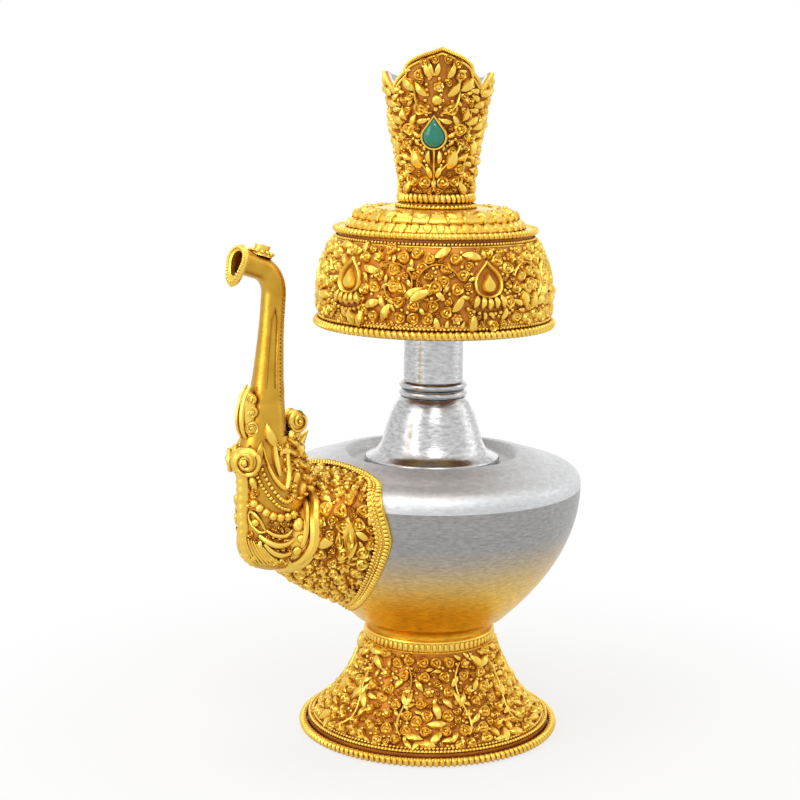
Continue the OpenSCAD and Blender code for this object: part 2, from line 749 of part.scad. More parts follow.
module cavetto_bead_wire() {
    color(gilt) ring(cavetto_r + seam + hood_wire_d / 2, hood_wire_d, cavetto_z);
}

module hood_top_plate() {
    color(dark_gilt) tube(hood_top_r, bush_r + seam, top_z, top_z + top_plate_t);
}

module hood_top_rope() {
    color(gilt) ring(hood_top_r + seam + top_rope_d / 2, top_rope_d, top_z + top_rope_d / 2 + seam);
}

module petal_ring(outer_r, count) {
    petal_r = PI * outer_r / count;
    circle(r = outer_r - petal_r);
    for (i = [0 : count - 1]) rotate(i * 360 / count)
        translate([outer_r - petal_r, 0]) circle(r = petal_r * 0.98, $fn = 24);
}

module lotus_tier(outer_r, z, h, count) {
    translate([0, 0, z]) difference() {
        union() {
            linear_extrude(h * 0.5) petal_ring(outer_r, count);
            cylinder(r1 = outer_r - 1.2, r2 = outer_r - 2.6, h = h);
        }
        translate([0, 0, -1]) cylinder(r = bush_r + seam, h = h + 2);
    }
}

module lotus_tier_lower() {
    color(gilt) lotus_tier(lower_tier_r, tier_z, lower_tier_h, petals);
}

module lotus_tier_upper() {
    color(gilt) lotus_tier(upper_tier_r, upper_tier_z, upper_tier_h, petals);
}

module crown_socket() {
    color(dark_gilt) tube(bush_r, bush_bore_r, top_z, seat_z);
}

module crown_seat_rope() {
    color(gilt) ring(seat_rope_r, seat_rope_d, seat_z + seam + seat_rope_d / 2);
}

// Crown

module crown_tenon() {
    flange_out = seat_rope_r - seat_rope_d / 2 - free_gap - tenon_r;
    color(silver_white) difference() {
        union() {
            translate([0, 0, seat_z - tenon_h])
                cylinder(r = tenon_r, h = tenon_h + (cup_z - seat_z) + 1);
            translate([0, 0, seat_z + rest_gap])
                cylinder(r = tenon_r + flange_out, h = crown_z - seat_z - 2 * rest_gap);
        }
        translate([0, 0, seat_z - tenon_h - 1]) cylinder(r = socket_r, h = far);
    }
}

module crown_base() {
    base_r = crown_rope_r - crown_rope_t / 2 - seam;
    color(dark_gilt) tube(base_r, tenon_r + running_gap, crown_z, cup_z - seam);
}

module crown_rope() {
    half = crown_rope_t / 2;
    color(gilt) translate([0, 0, crown_z]) rotate_extrude() translate([crown_rope_r, 0]) {
        translate([0, half]) circle(r = half);
        translate([0, crown_rope_h - half]) circle(r = half);
        translate([-half, half]) square([crown_rope_t, crown_rope_h - crown_rope_t]);
    }
}

// A conical wall of the crown, with a radius smaller by back on its outside
module crown_wall_solid(back, wall, low_h) {
    low_r = crown_foot_r + crown_slope * low_h - back;
    high_r = crown_foot_r + crown_slope * leaf_top_h - back;
    translate([0, 0, cup_z]) revolved([[low_r, low_h], [high_r, leaf_top_h], [high_r - wall, leaf_top_h],
        [low_r - wall, low_h]]);
}

// The tall front leaf's edge, seen from the front: half of it, from the notch to the peak
function front_edge(w, low, high) = let (step = high - low) concat(
    bez([w, low], [w + 0.2, low + step * 0.2], [w * 0.86, low + step * 0.3], [w * 0.72, low + step * 0.46]),
    skip_first(bez([w * 0.72, low + step * 0.46], [w * 0.76, low + step * 0.72],
        [w * 0.3, low + step * 0.86], [0, high])));

// What is cut away above the leaves
module leaf_cut() {
    notch_h = side_leaf_h - notch_depth;
    back_h = side_leaf_h - 1.5;
    edge_r = crown_foot_r + crown_slope * notch_h;
    notch_x = edge_r * sin(front_half_a);
    notch_y = edge_r * cos(front_half_a);
    half = front_edge(notch_x, notch_h, front_leaf_h);
    front = concat(half, skip_first(reversed([for (p = half) [-p[0], p[1]]])));
    side_arc = concat(
        bez([-notch_y, notch_h], [-notch_y * 0.7, notch_h + notch_depth * 0.5],
            [-notch_y * 0.4, side_leaf_h], [0, side_leaf_h]),
        skip_first(bez([0, side_leaf_h], [notch_y * 0.4, side_leaf_h],
            [notch_y * 0.8, back_h], [notch_y, back_h])));
    back_arc = concat(
        bez([-notch_x, back_h], [-notch_x * 0.8, back_h + 0.5], [-notch_x * 0.5, side_leaf_h + 1],
            [0, side_leaf_h + 1]),
        skip_first(bez([0, side_leaf_h + 1], [notch_x * 0.5, side_leaf_h + 1],
            [notch_x * 0.8, back_h + 0.5], [notch_x, back_h])));
    wedge_x = far * sin(front_half_a);
    wedge_y = far * cos(front_half_a);
    overlap = 1.5;
    translate([0, 0, cup_z]) {
        intersection() {
            rotate([90, 0, 0]) linear_extrude(far)
                polygon(concat(front, [[-notch_x - 9, notch_h], [-notch_x - 9, far], [notch_x + 9, far],
                    [notch_x + 9, notch_h]]));
            linear_extrude(far)
                polygon([[0, 0], [-wedge_x - overlap, -wedge_y], [wedge_x + overlap, -wedge_y]]);
        }
        intersection() {
            rotate([90, 0, 180]) linear_extrude(far)
                polygon(concat(back_arc, [[notch_x + 9, back_h], [notch_x + 9, far], [-notch_x - 9, far],
                    [-notch_x - 9, back_h]]));
            linear_extrude(far)
                polygon([[0, 0], [-wedge_x - overlap, wedge_y], [wedge_x + overlap, wedge_y]]);
        }
        for (s = [0, 1]) mirror([s, 0, 0]) intersection() {
            rotate([90, 0, 90]) linear_extrude(far)
                polygon(concat(side_arc, [[notch_y + 9, back_h], [notch_y + 9, far], [-notch_y - 9, far],
                    [-notch_y - 9, notch_h]]));
            linear_extrude(far) polygon([[0, 0], [wedge_x, -wedge_y], [wedge_x, wedge_y]]);
        }
    }
}

module crown_cup() {
    color(gilt) rotate([0, 0, crown_turn]) difference() {
        union() {
            crown_wall_solid(0, crown_wall, 0);
            tube(crown_foot_r - crown_wall / 2, tenon_r + running_gap, cup_z, cup_z + 1.2);
        }
        leaf_cut();
    }
}

module crown_lining() {
    color(silver_white) rotate([0, 0, crown_turn]) difference() {
        crown_wall_solid(crown_wall + seam, lining_wall, 1.2 + seam);
        translate([0, 0, -0.6]) leaf_cut();
    }
}

module pear(grow) {
    belly_r = stone_w / 2;
    point_reach = stone_l - belly_r;
    share = (belly_r + grow) / belly_r;
    translate([0, belly_r - stone_l / 2]) polygon(drop(belly_r * share, point_reach * share));
}

// Places a shape on the front leaf, with Z out of the leaf and Y up it
module on_front_leaf() {
    face_r = crown_foot_r + crown_slope * stone_rise;
    rotate([0, 0, crown_turn]) translate([0, -face_r, cup_z + stone_rise])
        rotate([90 + crown_tilt, 0, 0]) children();
}

module crown_face_solid(grow) {
    translate([0, 0, cup_z]) cylinder(r1 = crown_foot_r + grow,
        r2 = crown_foot_r + crown_slope * leaf_top_h + grow, h = leaf_top_h);
}

bezel_out = 1.5;
bezel_floor = 0.3;

module stone_bezel() {
    color(gilt) difference() {
        on_front_leaf() difference() {
            translate([0, 0, -2]) linear_extrude(2 + bezel_out) pear(bezel_wall);
            translate([0, 0, bezel_floor]) linear_extrude(far) pear(seam);
        }
        crown_face_solid(seam);
    }
}

module turquoise_stone() {
    dome_r = stone_l * 0.72;
    color(teal) on_front_leaf() intersection() {
        translate([0, 0, bezel_floor + seam]) linear_extrude(bezel_out + stone_dome) pear(0);
        translate([0, -stone_l * 0.06, bezel_out + stone_dome - dome_r]) sphere(r = dome_r);
    }
}

foot_skirt();
foot_scrollwork();
foot_rope();
foot_bead_wire();
foot_collar();
body_bowl();
body_shoulder();
neck_bell();
neck_moulding_lower();
neck_moulding_upper();
neck_tube();
spout_shield();
shield_border();
makara_head();
makara_trunk();
makara_jaw();
makara_eyes();
makara_fins();
spout_calyx();
spout_tube();
spout_bend();
spout_nozzle();
spout_mouth_rim();
spout_boss();
hood_sleeve();
hood_hub();
hood_drum();
hood_scrollwork();
hood_jewels();
hood_rope();
hood_bead_wire();
cavetto_bead_wire();
hood_top_plate();
hood_top_rope();
lotus_tier_lower();
lotus_tier_upper();
crown_socket();
crown_seat_rope();
crown_tenon();
crown_base();
crown_rope();
crown_cup();
crown_lining();
stone_bezel();
turquoise_stone();
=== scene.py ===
import bpy
import bmesh
import math
import random
from mathutils import Matrix, Vector


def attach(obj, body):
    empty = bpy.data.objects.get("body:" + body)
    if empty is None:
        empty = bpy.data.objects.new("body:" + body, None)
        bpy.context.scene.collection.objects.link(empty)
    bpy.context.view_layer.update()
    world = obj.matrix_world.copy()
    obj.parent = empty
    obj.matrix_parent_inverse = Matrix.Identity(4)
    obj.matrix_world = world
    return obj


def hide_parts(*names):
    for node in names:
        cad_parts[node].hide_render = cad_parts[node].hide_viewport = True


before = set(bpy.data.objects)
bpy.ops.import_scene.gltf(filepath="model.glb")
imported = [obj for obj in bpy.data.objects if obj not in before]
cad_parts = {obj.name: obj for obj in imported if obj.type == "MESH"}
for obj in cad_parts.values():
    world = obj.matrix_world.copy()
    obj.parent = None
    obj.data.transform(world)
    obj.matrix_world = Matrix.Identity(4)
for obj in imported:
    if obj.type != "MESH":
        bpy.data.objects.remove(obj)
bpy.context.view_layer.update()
pi = math.pi


def bez(a, b, c, d, steps):
    out = []
    for i in range(steps + 1):
        t = i / steps
        s = 1 - t
        shares = (s ** 3, 3 * s * s * t, 3 * s * t * t, t ** 3)
        out.append(tuple(sum(share * x for share, x in zip(shares, axis)) for axis in zip(a, b, c, d)))
    return out


def lerp(a, b, t):
    return a + (b - a) * t


# materials

def newMaterial(name):
    mat = bpy.data.materials.new(name)
    mat.use_nodes = True
    tree = mat.node_tree
    return mat, tree.nodes, tree.links, tree.nodes["Principled BSDF"]


def addNode(nodes, kind, sockets=None):
    made = nodes.new("ShaderNode" + kind)
    for socket, value in (sockets or {}).items():
        made.inputs[socket].default_value = value
    return made


def colourMix(nodes, first, second):
    mix = addNode(nodes, "Mix", {6: (*first, 1), 7: (*second, 1)})
    mix.data_type = "RGBA"
    return mix


def goldMaterial(name, look):
    mat, nodes, links, shader = newMaterial(name)
    coords = addNode(nodes, "TexCoord")
    cloud = addNode(nodes, "TexNoise", {"Scale": look["cloudScale"], "Detail": 3})
    links.new(coords.outputs["Object"], cloud.inputs["Vector"])
    tone = addNode(nodes, "ValToRGB")
    low, high = tone.color_ramp.elements
    low.position, low.color = 0.3, (*look["deep"], 1)
    high.position, high.color = 0.7, (*look["bright"], 1)
    links.new(cloud.outputs["Fac"], tone.inputs["Fac"])
    # painted shade: occlusion darkens the gold's colour in the recesses, standing in for the shade there
    occlusionShade = addNode(nodes, "AmbientOcclusion", {"Distance": look["hollowReach"]})  # darker in the recesses
    occlusionShade.samples = 6
    curve = addNode(nodes, "MapRange", {"From Min": look["hollowFrom"], "From Max": look["hollowTo"]})
    links.new(occlusionShade.outputs["AO"], curve.inputs["Value"])
    mix = colourMix(nodes, look["recessShade"], look["bright"])
    links.new(curve.outputs["Result"], mix.inputs[0])
    links.new(tone.outputs["Color"], mix.inputs[7])
    links.new(mix.outputs[2], shader.inputs["Base Color"])
    rough = addNode(nodes, "MapRange", {"To Min": look["roughRecess"], "To Max": look["rough"]})
    links.new(curve.outputs["Result"], rough.inputs["Value"])
    links.new(rough.outputs["Result"], shader.inputs["Roughness"])
    shader.inputs["Metallic"].default_value = look["metallic"]
    grain = addNode(nodes, "TexNoise", {"Scale": look["grainScale"], "Detail": 2})
    links.new(coords.outputs["Object"], grain.inputs["Vector"])
    bump = addNode(nodes, "Bump", {"Strength": look["grain"], "Distance": 0.0002})
    links.new(grain.outputs["Fac"], bump.inputs["Height"])
    links.new(bump.outputs["Normal"], shader.inputs["Normal"])
    return mat


def silverMaterial(name, look):
    mat, nodes, links, shader = newMaterial(name)
    coords = addNode(nodes, "TexCoord")
    stretch = addNode(nodes, "Mapping", {"Scale": look["stretch"]})
    links.new(coords.outputs["Object"], stretch.inputs["Vector"])
    marks = addNode(nodes, "TexNoise", {"Scale": look["markScale"], "Detail": 5, "Roughness": 0.65})
    links.new(stretch.outputs["Vector"], marks.inputs["Vector"])
    bump = addNode(nodes, "Bump", {"Strength": look["bump"], "Distance": 0.0004})
    links.new(marks.outputs["Fac"], bump.inputs["Height"])
    links.new(bump.outputs["Normal"], shader.inputs["Normal"])
    spread = addNode(nodes, "MapRange", {"From Min": 0.28, "From Max": 0.72})
    links.new(marks.outputs["Fac"], spread.inputs["Value"])
    tone = colourMix(nodes, look["dark"], look["light"])
    links.new(spread.outputs["Result"], tone.inputs[0])
    if "warm" in look:  # warm light from the gilt foot, fading upwards
        split = addNode(nodes, "SeparateXYZ")
        links.new(coords.outputs["Object"], split.inputs["Vector"])
        fade = addNode(nodes, "MapRange", {"From Min": look["warmFrom"], "From Max": look["warmTo"]})
        fade.interpolation_type = "SMOOTHSTEP"
        links.new(split.outputs["Z"], fade.inputs["Value"])
        warm = colourMix(nodes, look["light"], look["warm"])
        warm.blend_type = "MULTIPLY"
        links.new(fade.outputs["Result"], warm.inputs[0])
        links.new(tone.outputs[2], warm.inputs[6])
        tone = warm
    links.new(tone.outputs[2], shader.inputs["Base Color"])
    shader.inputs["Metallic"].default_value = 1
    shader.inputs["Roughness"].default_value = look["rough"]
    return mat


def stoneMaterial(name, look):
    mat, nodes, links, shader = newMaterial(name)
    coords = addNode(nodes, "TexCoord")
    veins = addNode(nodes, "TexNoise", {"Scale": look["veinScale"], "Detail": 4})
    links.new(coords.outputs["Object"], veins.inputs["Vector"])
    tone = colourMix(nodes, look["deep"], look["light"])
    links.new(veins.outputs["Fac"], tone.inputs[0])
    links.new(tone.outputs[2], shader.inputs["Base Color"])
    shader.inputs["Roughness"].default_value = look["rough"]
    shader.inputs["Coat Weight"].default_value = look["polish"]
    shader.inputs["Coat Roughness"].default_value = 0.05
    return mat


# recessShade is painted shade: the colour used deep in the recesses
gold = goldMaterial("gold", {
    "bright": (0.90, 0.63, 0.12), "deep": (0.80, 0.51, 0.075), "recessShade": (0.44, 0.18, 0.03), "rough": 0.33,
    "roughRecess": 0.5, "metallic": 1.0, "cloudScale": 120,
    "hollowReach": 0.002, "hollowFrom": 0.15, "hollowTo": 0.75, "grainScale": 1500, "grain": 0.25})
smoothGold = goldMaterial("smoothGold", {
    "bright": (0.66, 0.39, 0.05), "deep": (0.52, 0.28, 0.028), "recessShade": (0.32, 0.09, 0.012), "rough": 0.34,
    "roughRecess": 0.5, "metallic": 1.0, "cloudScale": 160,
    "hollowReach": 0.003, "hollowFrom": 0.2, "hollowTo": 0.85, "grainScale": 700, "grain": 0.35})
# painted shade: the gilt ground behind the ornaments is darkened in colour, standing in for the shade in the
# gaps between them
shadedBacking = goldMaterial("shadedBacking", {
    "bright": (0.66, 0.28, 0.042), "deep": (0.46, 0.16, 0.024), "recessShade": (0.15, 0.03, 0.008), "rough": 0.48,
    "roughRecess": 0.6, "metallic": 0.9, "cloudScale": 200,
    "hollowReach": 0.0022, "hollowFrom": 0.25, "hollowTo": 0.95, "grainScale": 900, "grain": 0.3})
silver = silverMaterial("silver", {
    "stretch": (1, 1, 3), "markScale": 380, "bump": 0.3, "dark": (0.36, 0.36, 0.365),
    "light": (0.70, 0.70, 0.70), "rough": 0.24})
# painted light: the same silver in lighter tones for the top of the shoulder
litShoulderSilver = silverMaterial("litShoulderSilver", {
    "stretch": (1, 1, 3), "markScale": 420, "bump": 0.25, "dark": (0.52, 0.525, 0.53),
    "light": (0.70, 0.705, 0.71), "rough": 0.55})
# painted shade: the same silver in darker tones on the bowl, standing in for its darker reflections
shadedBowlSilver = silverMaterial("shadedBowlSilver", {
    "stretch": (1, 1, 4), "markScale": 420, "bump": 0.32, "dark": (0.24, 0.237, 0.233),
    "light": (0.42, 0.416, 0.411), "rough": 0.3, "warmFrom": 0.079, "warmTo": 0.050,
    "warm": (2.5, 1.55, 0.14)})
dullSilver = silverMaterial("dullSilver", {
    "stretch": (1, 1, 1), "markScale": 500, "bump": 0.1, "dark": (0.52, 0.52, 0.51),
    "light": (0.66, 0.66, 0.65), "rough": 0.6})
turquoise = stoneMaterial("turquoise", {
    "deep": (0.002, 0.16, 0.10), "light": (0.006, 0.27, 0.17),
    "rough": 0.15, "veinScale": 350, "polish": 0.25})
print("materials made")


# building blocks

def piece(name, bm, material, body, nodes, sharp=40):
    bmesh.ops.scale(bm, vec=(0.001, 0.001, 0.001), verts=bm.verts)
    bmesh.ops.recalc_face_normals(bm, faces=bm.faces)
    mesh = bpy.data.meshes.new(name)
    bm.to_mesh(mesh)
    bm.free()
    mesh.materials.append(material)
    mesh.shade_smooth()
    mesh.set_sharp_from_angle(angle=math.radians(sharp))
    obj = bpy.data.objects.new(name, mesh)
    bpy.context.scene.collection.objects.link(obj)
    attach(obj, body)
    if nodes:
        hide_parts(*nodes)
    return obj


def lathe(bm, profile, steps, closed=False, x=0.0):
    verts = [bm.verts.new((r, 0, z)) for r, z in profile]
    edges = [bm.edges.new(pair) for pair in zip(verts, verts[1:])]
    if closed:
        edges.append(bm.edges.new((verts[-1], verts[0])))
    bmesh.ops.spin(bm, geom=verts + edges, cent=(0, 0, 0), axis=(0, 0, 1), angle=2 * pi, steps=steps,
                   use_merge=True)
    if x:
        bmesh.ops.translate(bm, vec=(x, 0, 0), verts=bm.verts)


def turned(name, profile, steps, material, body, node):  # a piece that is lathed and nothing more
    bm = bmesh.new()
    lathe(bm, profile, steps, closed=True)
    piece(name, bm, material, body, [node])


def joinRings(bm, rings):  # quads between rings of the same count
    for a, b in zip(rings, rings[1:]):
        for i in range(len(a)):
            k = (i + 1) % len(a)
            bm.faces.new((a[i], a[k], b[k], b[i]))


def wall(outside, thickness):
    side = []
    for i, p in enumerate(outside):
        a = Vector(outside[max(i - 1, 0)])
        b = Vector(outside[min(i + 1, len(outside) - 1)])
        t = (b - a).normalized()
        side.append((p[0] - thickness * t.y, p[1] + thickness * t.x))
    return outside + side[::-1]


def ballShape(around, up):  # a small ball, as corners and faces
    made = bmesh.new()
    bmesh.ops.create_uvsphere(made, u_segments=around, v_segments=up, radius=1)
    made.verts.index_update()
    shape = [v.co.copy() for v in made.verts], [[v.index for v in f.verts] for f in made.faces]
    made.free()
    return shape


ball = ballShape(8, 6)


def putBall(bm, matrix):
    verts = [bm.verts.new(matrix @ v) for v in ball[0]]
    for f in ball[1]:
        bm.faces.new([verts[i] for i in f])


def beadRing(bm, count, r, z, size, tilt):
    for i in range(count):
        putBall(bm, Matrix.Rotation(2 * pi * i / count, 4, "Z") @ Matrix.Translation((r, 0, z))
                @ Matrix.Rotation(tilt, 4, "X") @ Matrix.Diagonal((*size, 1)))


# rows of beads (count, radius, height, size, tilt) on a core (radius, height, size)
def rope(name, node, body, look):
    bm = bmesh.new()
    for row in look["rows"]:
        beadRing(bm, *row)
    r, z, size = look["core"]
    turns = [2 * pi * i / 10 for i in range(10)]
    lathe(bm, [(r + size[0] * math.cos(a), z + size[1] * math.sin(a)) for a in turns], 96, closed=True)
    piece(name, bm, gold, body, [node])


def bead(bm, at, size, turn=None):
    m = Matrix.Translation(at)
    if turn is not None:
        m = m @ turn
    putBall(bm, m @ Matrix.Diagonal((*size, 1)))


# ornaments are drawn flat, in millimetres, and laid on a surface by a placing function

def stripFaces(rows):  # a strip five corners wide
    return [(k, k + 1, k + 6, k + 5) for i in range(rows) for k in range(5 * i, 5 * i + 4)]


def leafShape(length, width, height, bend=0.0, steps=7):
    verts = []
    for i in range(steps + 1):
        t = i / steps
        half = width * 0.5 * math.sin(pi * min(1, t * 0.97 + 0.03)) ** 0.7 * lerp(1.05, 0.75, t)
        x0 = bend * length * t * t
        y = length * t
        lift = height * math.sin(pi * lerp(0.12, 0.95, t))
        for across, up in ((-1, -0.25), (-0.62, 0.8), (0, 1.0), (0.62, 0.8), (1, -0.25)):
            verts.append((x0 + across * half, y, lift * up if up > 0 else up))
    return verts, stripFaces(steps)


def flowerShape(radius, height, petals=5):
    verts = [(0, 0, height * 1.2)]
    faces = []
    n = petals * 4
    for share, up in ((0.28, 1.0), (0.36, 0.55), (0.75, 0.95), (1.0, -0.2)):
        for j in range(n):
            a = 2 * pi * j / n
            lobe = 0.5 + 0.5 * math.cos(petals * a)
            r = radius * share * (lerp(0.72, 1, lobe) if share > 0.5 else 1)
            tall = height * up * (lerp(0.55, 1, lobe) if share > 0.3 else 1)
            verts.append((r * math.cos(a), r * math.sin(a), tall))
    for j in range(n):
        k = (j + 1) % n
        faces.append((0, 1 + j, 1 + k))
        for a in (1, 1 + n, 1 + 2 * n):
            faces.append((a + j, a + n + j, a + n + k, a + k))
    return verts, faces


def domeShape(radius, height, sides=8):
    verts = []
    faces = []
    for r, up in ((1.0, -0.2), (0.92, 0.45), (0.6, 0.85)):
        for j in range(sides):
            a = 2 * pi * j / sides
            verts.append((radius * r * math.cos(a), radius * r * math.sin(a), height * up))
    verts.append((0, 0, height))
    for j in range(sides):
        k = (j + 1) % sides
        faces += [(j, k, sides + k, sides + j), (sides + j, sides + k, 2 * sides + k, 2 * sides + j)]
        faces.append((2 * sides + j, 2 * sides + k, 3 * sides))
    return verts, faces


def wireShape(path, width, height):
    verts = []
    for i, p in enumerate(path):
        a = Vector(path[max(i - 1, 0)])
        b = Vector(path[min(i + 1, len(path) - 1)])
        t = (b - a).normalized()
        side = Vector((-t.y, t.x))
        for off, up in ((1, -0.3), (0.6, 0.75 * height), (0, height), (-0.6, 0.75 * height), (-1, -0.3)):
            q = Vector(p) + side * off * width * 0.5
            verts.append((q.x, q.y, up))
    return verts, stripFaces(len(path) - 1)


def stamp(bm, shape, place):
    verts, faces = shape
    made = [bm.verts.new(place(*v)) for v in verts]
    for f in faces:
        bm.faces.new([made[i] for i in f])


tiny = 0.002  # step for the slope of a surface


def placer(surface, u0, v0, turn=0.0, lift=0.0):
    du = (surface(u0 + tiny, v0) - surface(u0 - tiny, v0)) / (2 * tiny)
    dv = (surface(u0, v0 + tiny) - surface(u0, v0 - tiny)) / (2 * tiny)
    su, sv = max(du.length, 0.2), max(dv.length, 0.2)
    c, s = math.cos(turn), math.sin(turn)

    def place(x, y, w):
        u = u0 + (c * x - s * y) / su
        v = v0 + (s * x + c * y) / sv
        p = surface(u, v)
        n = (surface(u + tiny, v) - p).cross(surface(u, v + tiny) - p).normalized()
        return p + n * (w + lift)
    return place


def latheSurface(profile, x=0.0):  # the surface of a lathed profile, by angle and length along it
    lengths = [0]
    for a, b in zip(profile, profile[1:]):
        lengths.append(lengths[-1] + math.dist(a, b))

    def surface(u, v):
        i = 0
        while i < len(lengths) - 2 and v > lengths[i + 1]:
            i += 1
        t = (v - lengths[i]) / (lengths[i + 1] - lengths[i])
        r = lerp(profile[i][0], profile[i + 1][0], t)
        z = lerp(profile[i][1], profile[i + 1][1], t)
        return Vector((x + r * math.cos(u), r * math.sin(u), z))
    return surface, lengths[-1]


def curl(r, hand):  # a domed rosette with a spiral groove
    around, rings = 14, 6
    tall = 0.55 + 0.3 * r
    verts = [(0, 0, tall * 1.15)]
    for j in range(1, rings + 1):
        share = j / rings
        for i in range(around):
            a = 2 * pi * i / around
            wave = 0.5 + 0.5 * math.cos(2 * pi * (share * 2.1 - hand * i / around - 0.1))
            up = tall * lerp(0.3, 1.0, wave) if j < rings else -0.3
            spread = r * share * (1 + 0.07 * math.cos(3 * a + hand))
            verts.append((spread * math.cos(a), spread * math.sin(a), up))
    faces = [(0, 1 + i, 1 + (i + 1) % around) for i in range(around)]
    for j in range(rings - 1):
        k = 1 + j * around
        for i in range(around):
            n = (i + 1) % around
            faces.append((k + i, k + around + i, k + around + n, k + n))
    return verts, faces


def centred(length, width, height, bend):
    verts, faces = leafShape(length, width, height, bend)
    return [(x - bend * length * 0.3, y - length / 2, w) for x, y, w in verts], faces


# fills a surface with curls, leaves and flowers, large ones first
# mains are set places, and blocked ones stay free
def ornamentField(bm, surface, span, rnd, mains=(), blocked=(), keep=None, mirrorAt=None, leaves=(0.3, 0.5),
                  sizes=((2.2, 1500), (1.6, 2500), (1.1, 3500), (0.7, 3500))):
    uFrom, uTo, vFrom, vTo = span
    taken = {}
    cellSize, closest = 6, 0.86  # closest: share of both radii that keeps two ornaments apart
    near = (-1, 0, 1)

    def cell(p):
        return tuple(int(c // cellSize) for c in p)

    def isFree(p, r):
        cx, cy, cz = cell(p)
        return all((p - q).length > (r + s) * closest for x in near for y in near for z in near
                   for q, s in taken.get((cx + x, cy + y, cz + z), ()))

    def put(shape, u, v, turn, lift):
        stamp(bm, shape, placer(surface, u, v, turn, lift))
        if mirrorAt is not None:
            flipped = [(-x, y, w) for x, y, w in shape[0]], shape[1]
            stamp(bm, flipped, placer(surface, 2 * mirrorAt - u, v, -turn, lift))

    for u, v, r in list(blocked) + list(mains):
        p = surface(u, v)
        taken.setdefault(cell(p), []).append((p, r))
    for k, (u, v, r) in enumerate(mains):
        if rnd.random() < 0.25:
            put(flowerShape(r * 1.05, 0.55 + 0.3 * r, 6), u, v, rnd.uniform(0, 6), 0.1)
        else:
            put(curl(r, 1 if k % 2 else -1), u, v, rnd.uniform(0, 6), 0.1)
    for r, tries in sizes:
        for _ in range(tries):
            u, v = rnd.uniform(uFrom, uTo), rnd.uniform(vFrom, vTo)
            p = surface(u, v)
            if (keep is not None and not keep(u, v)) or not isFree(p, r):
                continue
            taken.setdefault(cell(p), []).append((p, r))
            turn = rnd.uniform(0, 2 * pi)
            kind = rnd.random()
            if r < 0.9:
                put(domeShape(r * 1.1, 0.8, 6), u, v, turn, 0)
            elif kind < leaves[0 if r > 2 else 1]:
                put(centred(r * 3.0, r * 1.9, 0.6 + 0.6 * r, rnd.uniform(-0.25, 0.25)), u, v, turn, 0.1)
            elif kind < 0.36 and r > 2:
                put(flowerShape(r * 1.05, 0.5 + 0.3 * r, 5), u, v, turn, 0.1)
            else:
                put(curl(r * 1.05, rnd.choice((-1, 1))), u, v, turn, 0)


def spiralPath(radius, turns, start, hand, steps=26, end=0.18):
    path = []
    for i in range(steps + 1):
        r = lerp(radius, radius * end, i / steps)
        a = start + hand * 2 * pi * turns * i / steps
        path.append((r * math.cos(a), r * math.sin(a)))
    return path


# foot

foot = {"edge": 43.2, "lip": 4.2, "line": ((41.7, 4.8), (33.3, 9.1), (24.1, 26.7), (23.6, 33.0)),
        "sunk": 0.45, "wall": 1.2, "pitch": 6.9, "rosette": 2.3, "stems": 10, "seed": 11}
footLine = bez(*foot["line"], 26)
footFace = [(r - foot["sunk"], z) for r, z in footLine]
skirt = [(foot["edge"], 0.0), (foot["edge"], foot["lip"]), (41.4, 4.3)] + footFace[1:]
turned("footSkirt", wall(skirt, foot["wall"]), 128, shadedBacking, "vase", "foot_skirt")

bm = bmesh.new()
rnd = random.Random(foot["seed"])
surface, length = latheSurface(footFace)
marks = [q for q in bez(*foot["line"], 14) if 5.4 <= q[1] <= 31.0]
rows = int(sum(math.dist(a, b) for a, b in zip(marks, marks[1:])) / foot["pitch"])
mains = []
for row in range(rows):  # the rosettes of the solid stand in the same places
    r, z = marks[round(2 + (len(marks) - 5) * row / (rows - 1))]
    count = int(2 * pi * r / foot["pitch"])
    v = min((length * i / 200 for i in range(201)), key=lambda s: abs(surface(0, s).z - z))
    mains += [(2 * pi * (k + row / 2) / count, v, foot["rosette"]) for k in range(count)]
ornamentField(bm, surface, (0, 2 * pi, 1.2, length - 1.2), rnd, mains)
for k in range(foot["stems"]):  # climbing stems with a leaf pair
    u = 2 * pi * k / foot["stems"]
    hand = 1 if k % 2 else -1
    stem = bez((0, -13), (6 * hand, -6), (-6 * hand, 4), (2 * hand, 13), 18)
    stamp(bm, wireShape(stem, 0.9, 0.9), placer(surface, u, length * 0.52, 0, 0.45))
    for side in (-1, 1):
        leaf = leafShape(6.0, 2.9, 1.4, 0.3 * side)
        stamp(bm, leaf, placer(surface, u + 0.02 * side, length * 0.45, 0.7 * side, 0.4))
piece("footScrollwork", bm, gold, "vase", ["foot_scrollwork"])

rope("footRope", "foot_rope", "vase", {
    "rows": ((140, 44.85, 1.9, (1.5, 1.02, 1.62), 0.28),), "core": (44.3, 1.8, (1.0, 1.3))})
rope("footBeadWire", "foot_bead_wire", "vase", {
    "rows": ((210, 42.5, 4.75, (0.62, 0.62, 0.6), 0), (190, 41.1, 5.3, (0.5, 0.62, 0.5), 0.5)),
    "core": (41.9, 4.6, (0.9, 0.35))})

collar = {"line": ((20.5, 33), (23.4, 33), (23.5, 33.3), (22.7, 33.6), (22.7, 36.2), (23.2, 36.5), (23.0, 37),
                   (20.5, 37)),
          "ribs": 72, "rib": (0.75, 0.82, 1.55), "at": (22.7, 34.9)}
bm = bmesh.new()
lathe(bm, collar["line"], 96, closed=True)
beadRing(bm, collar["ribs"], *collar["at"], collar["rib"], 0)
piece("footCollar", bm, gold, "vase", ["foot_collar"])
print("foot built")


# bowl, shoulder and neck

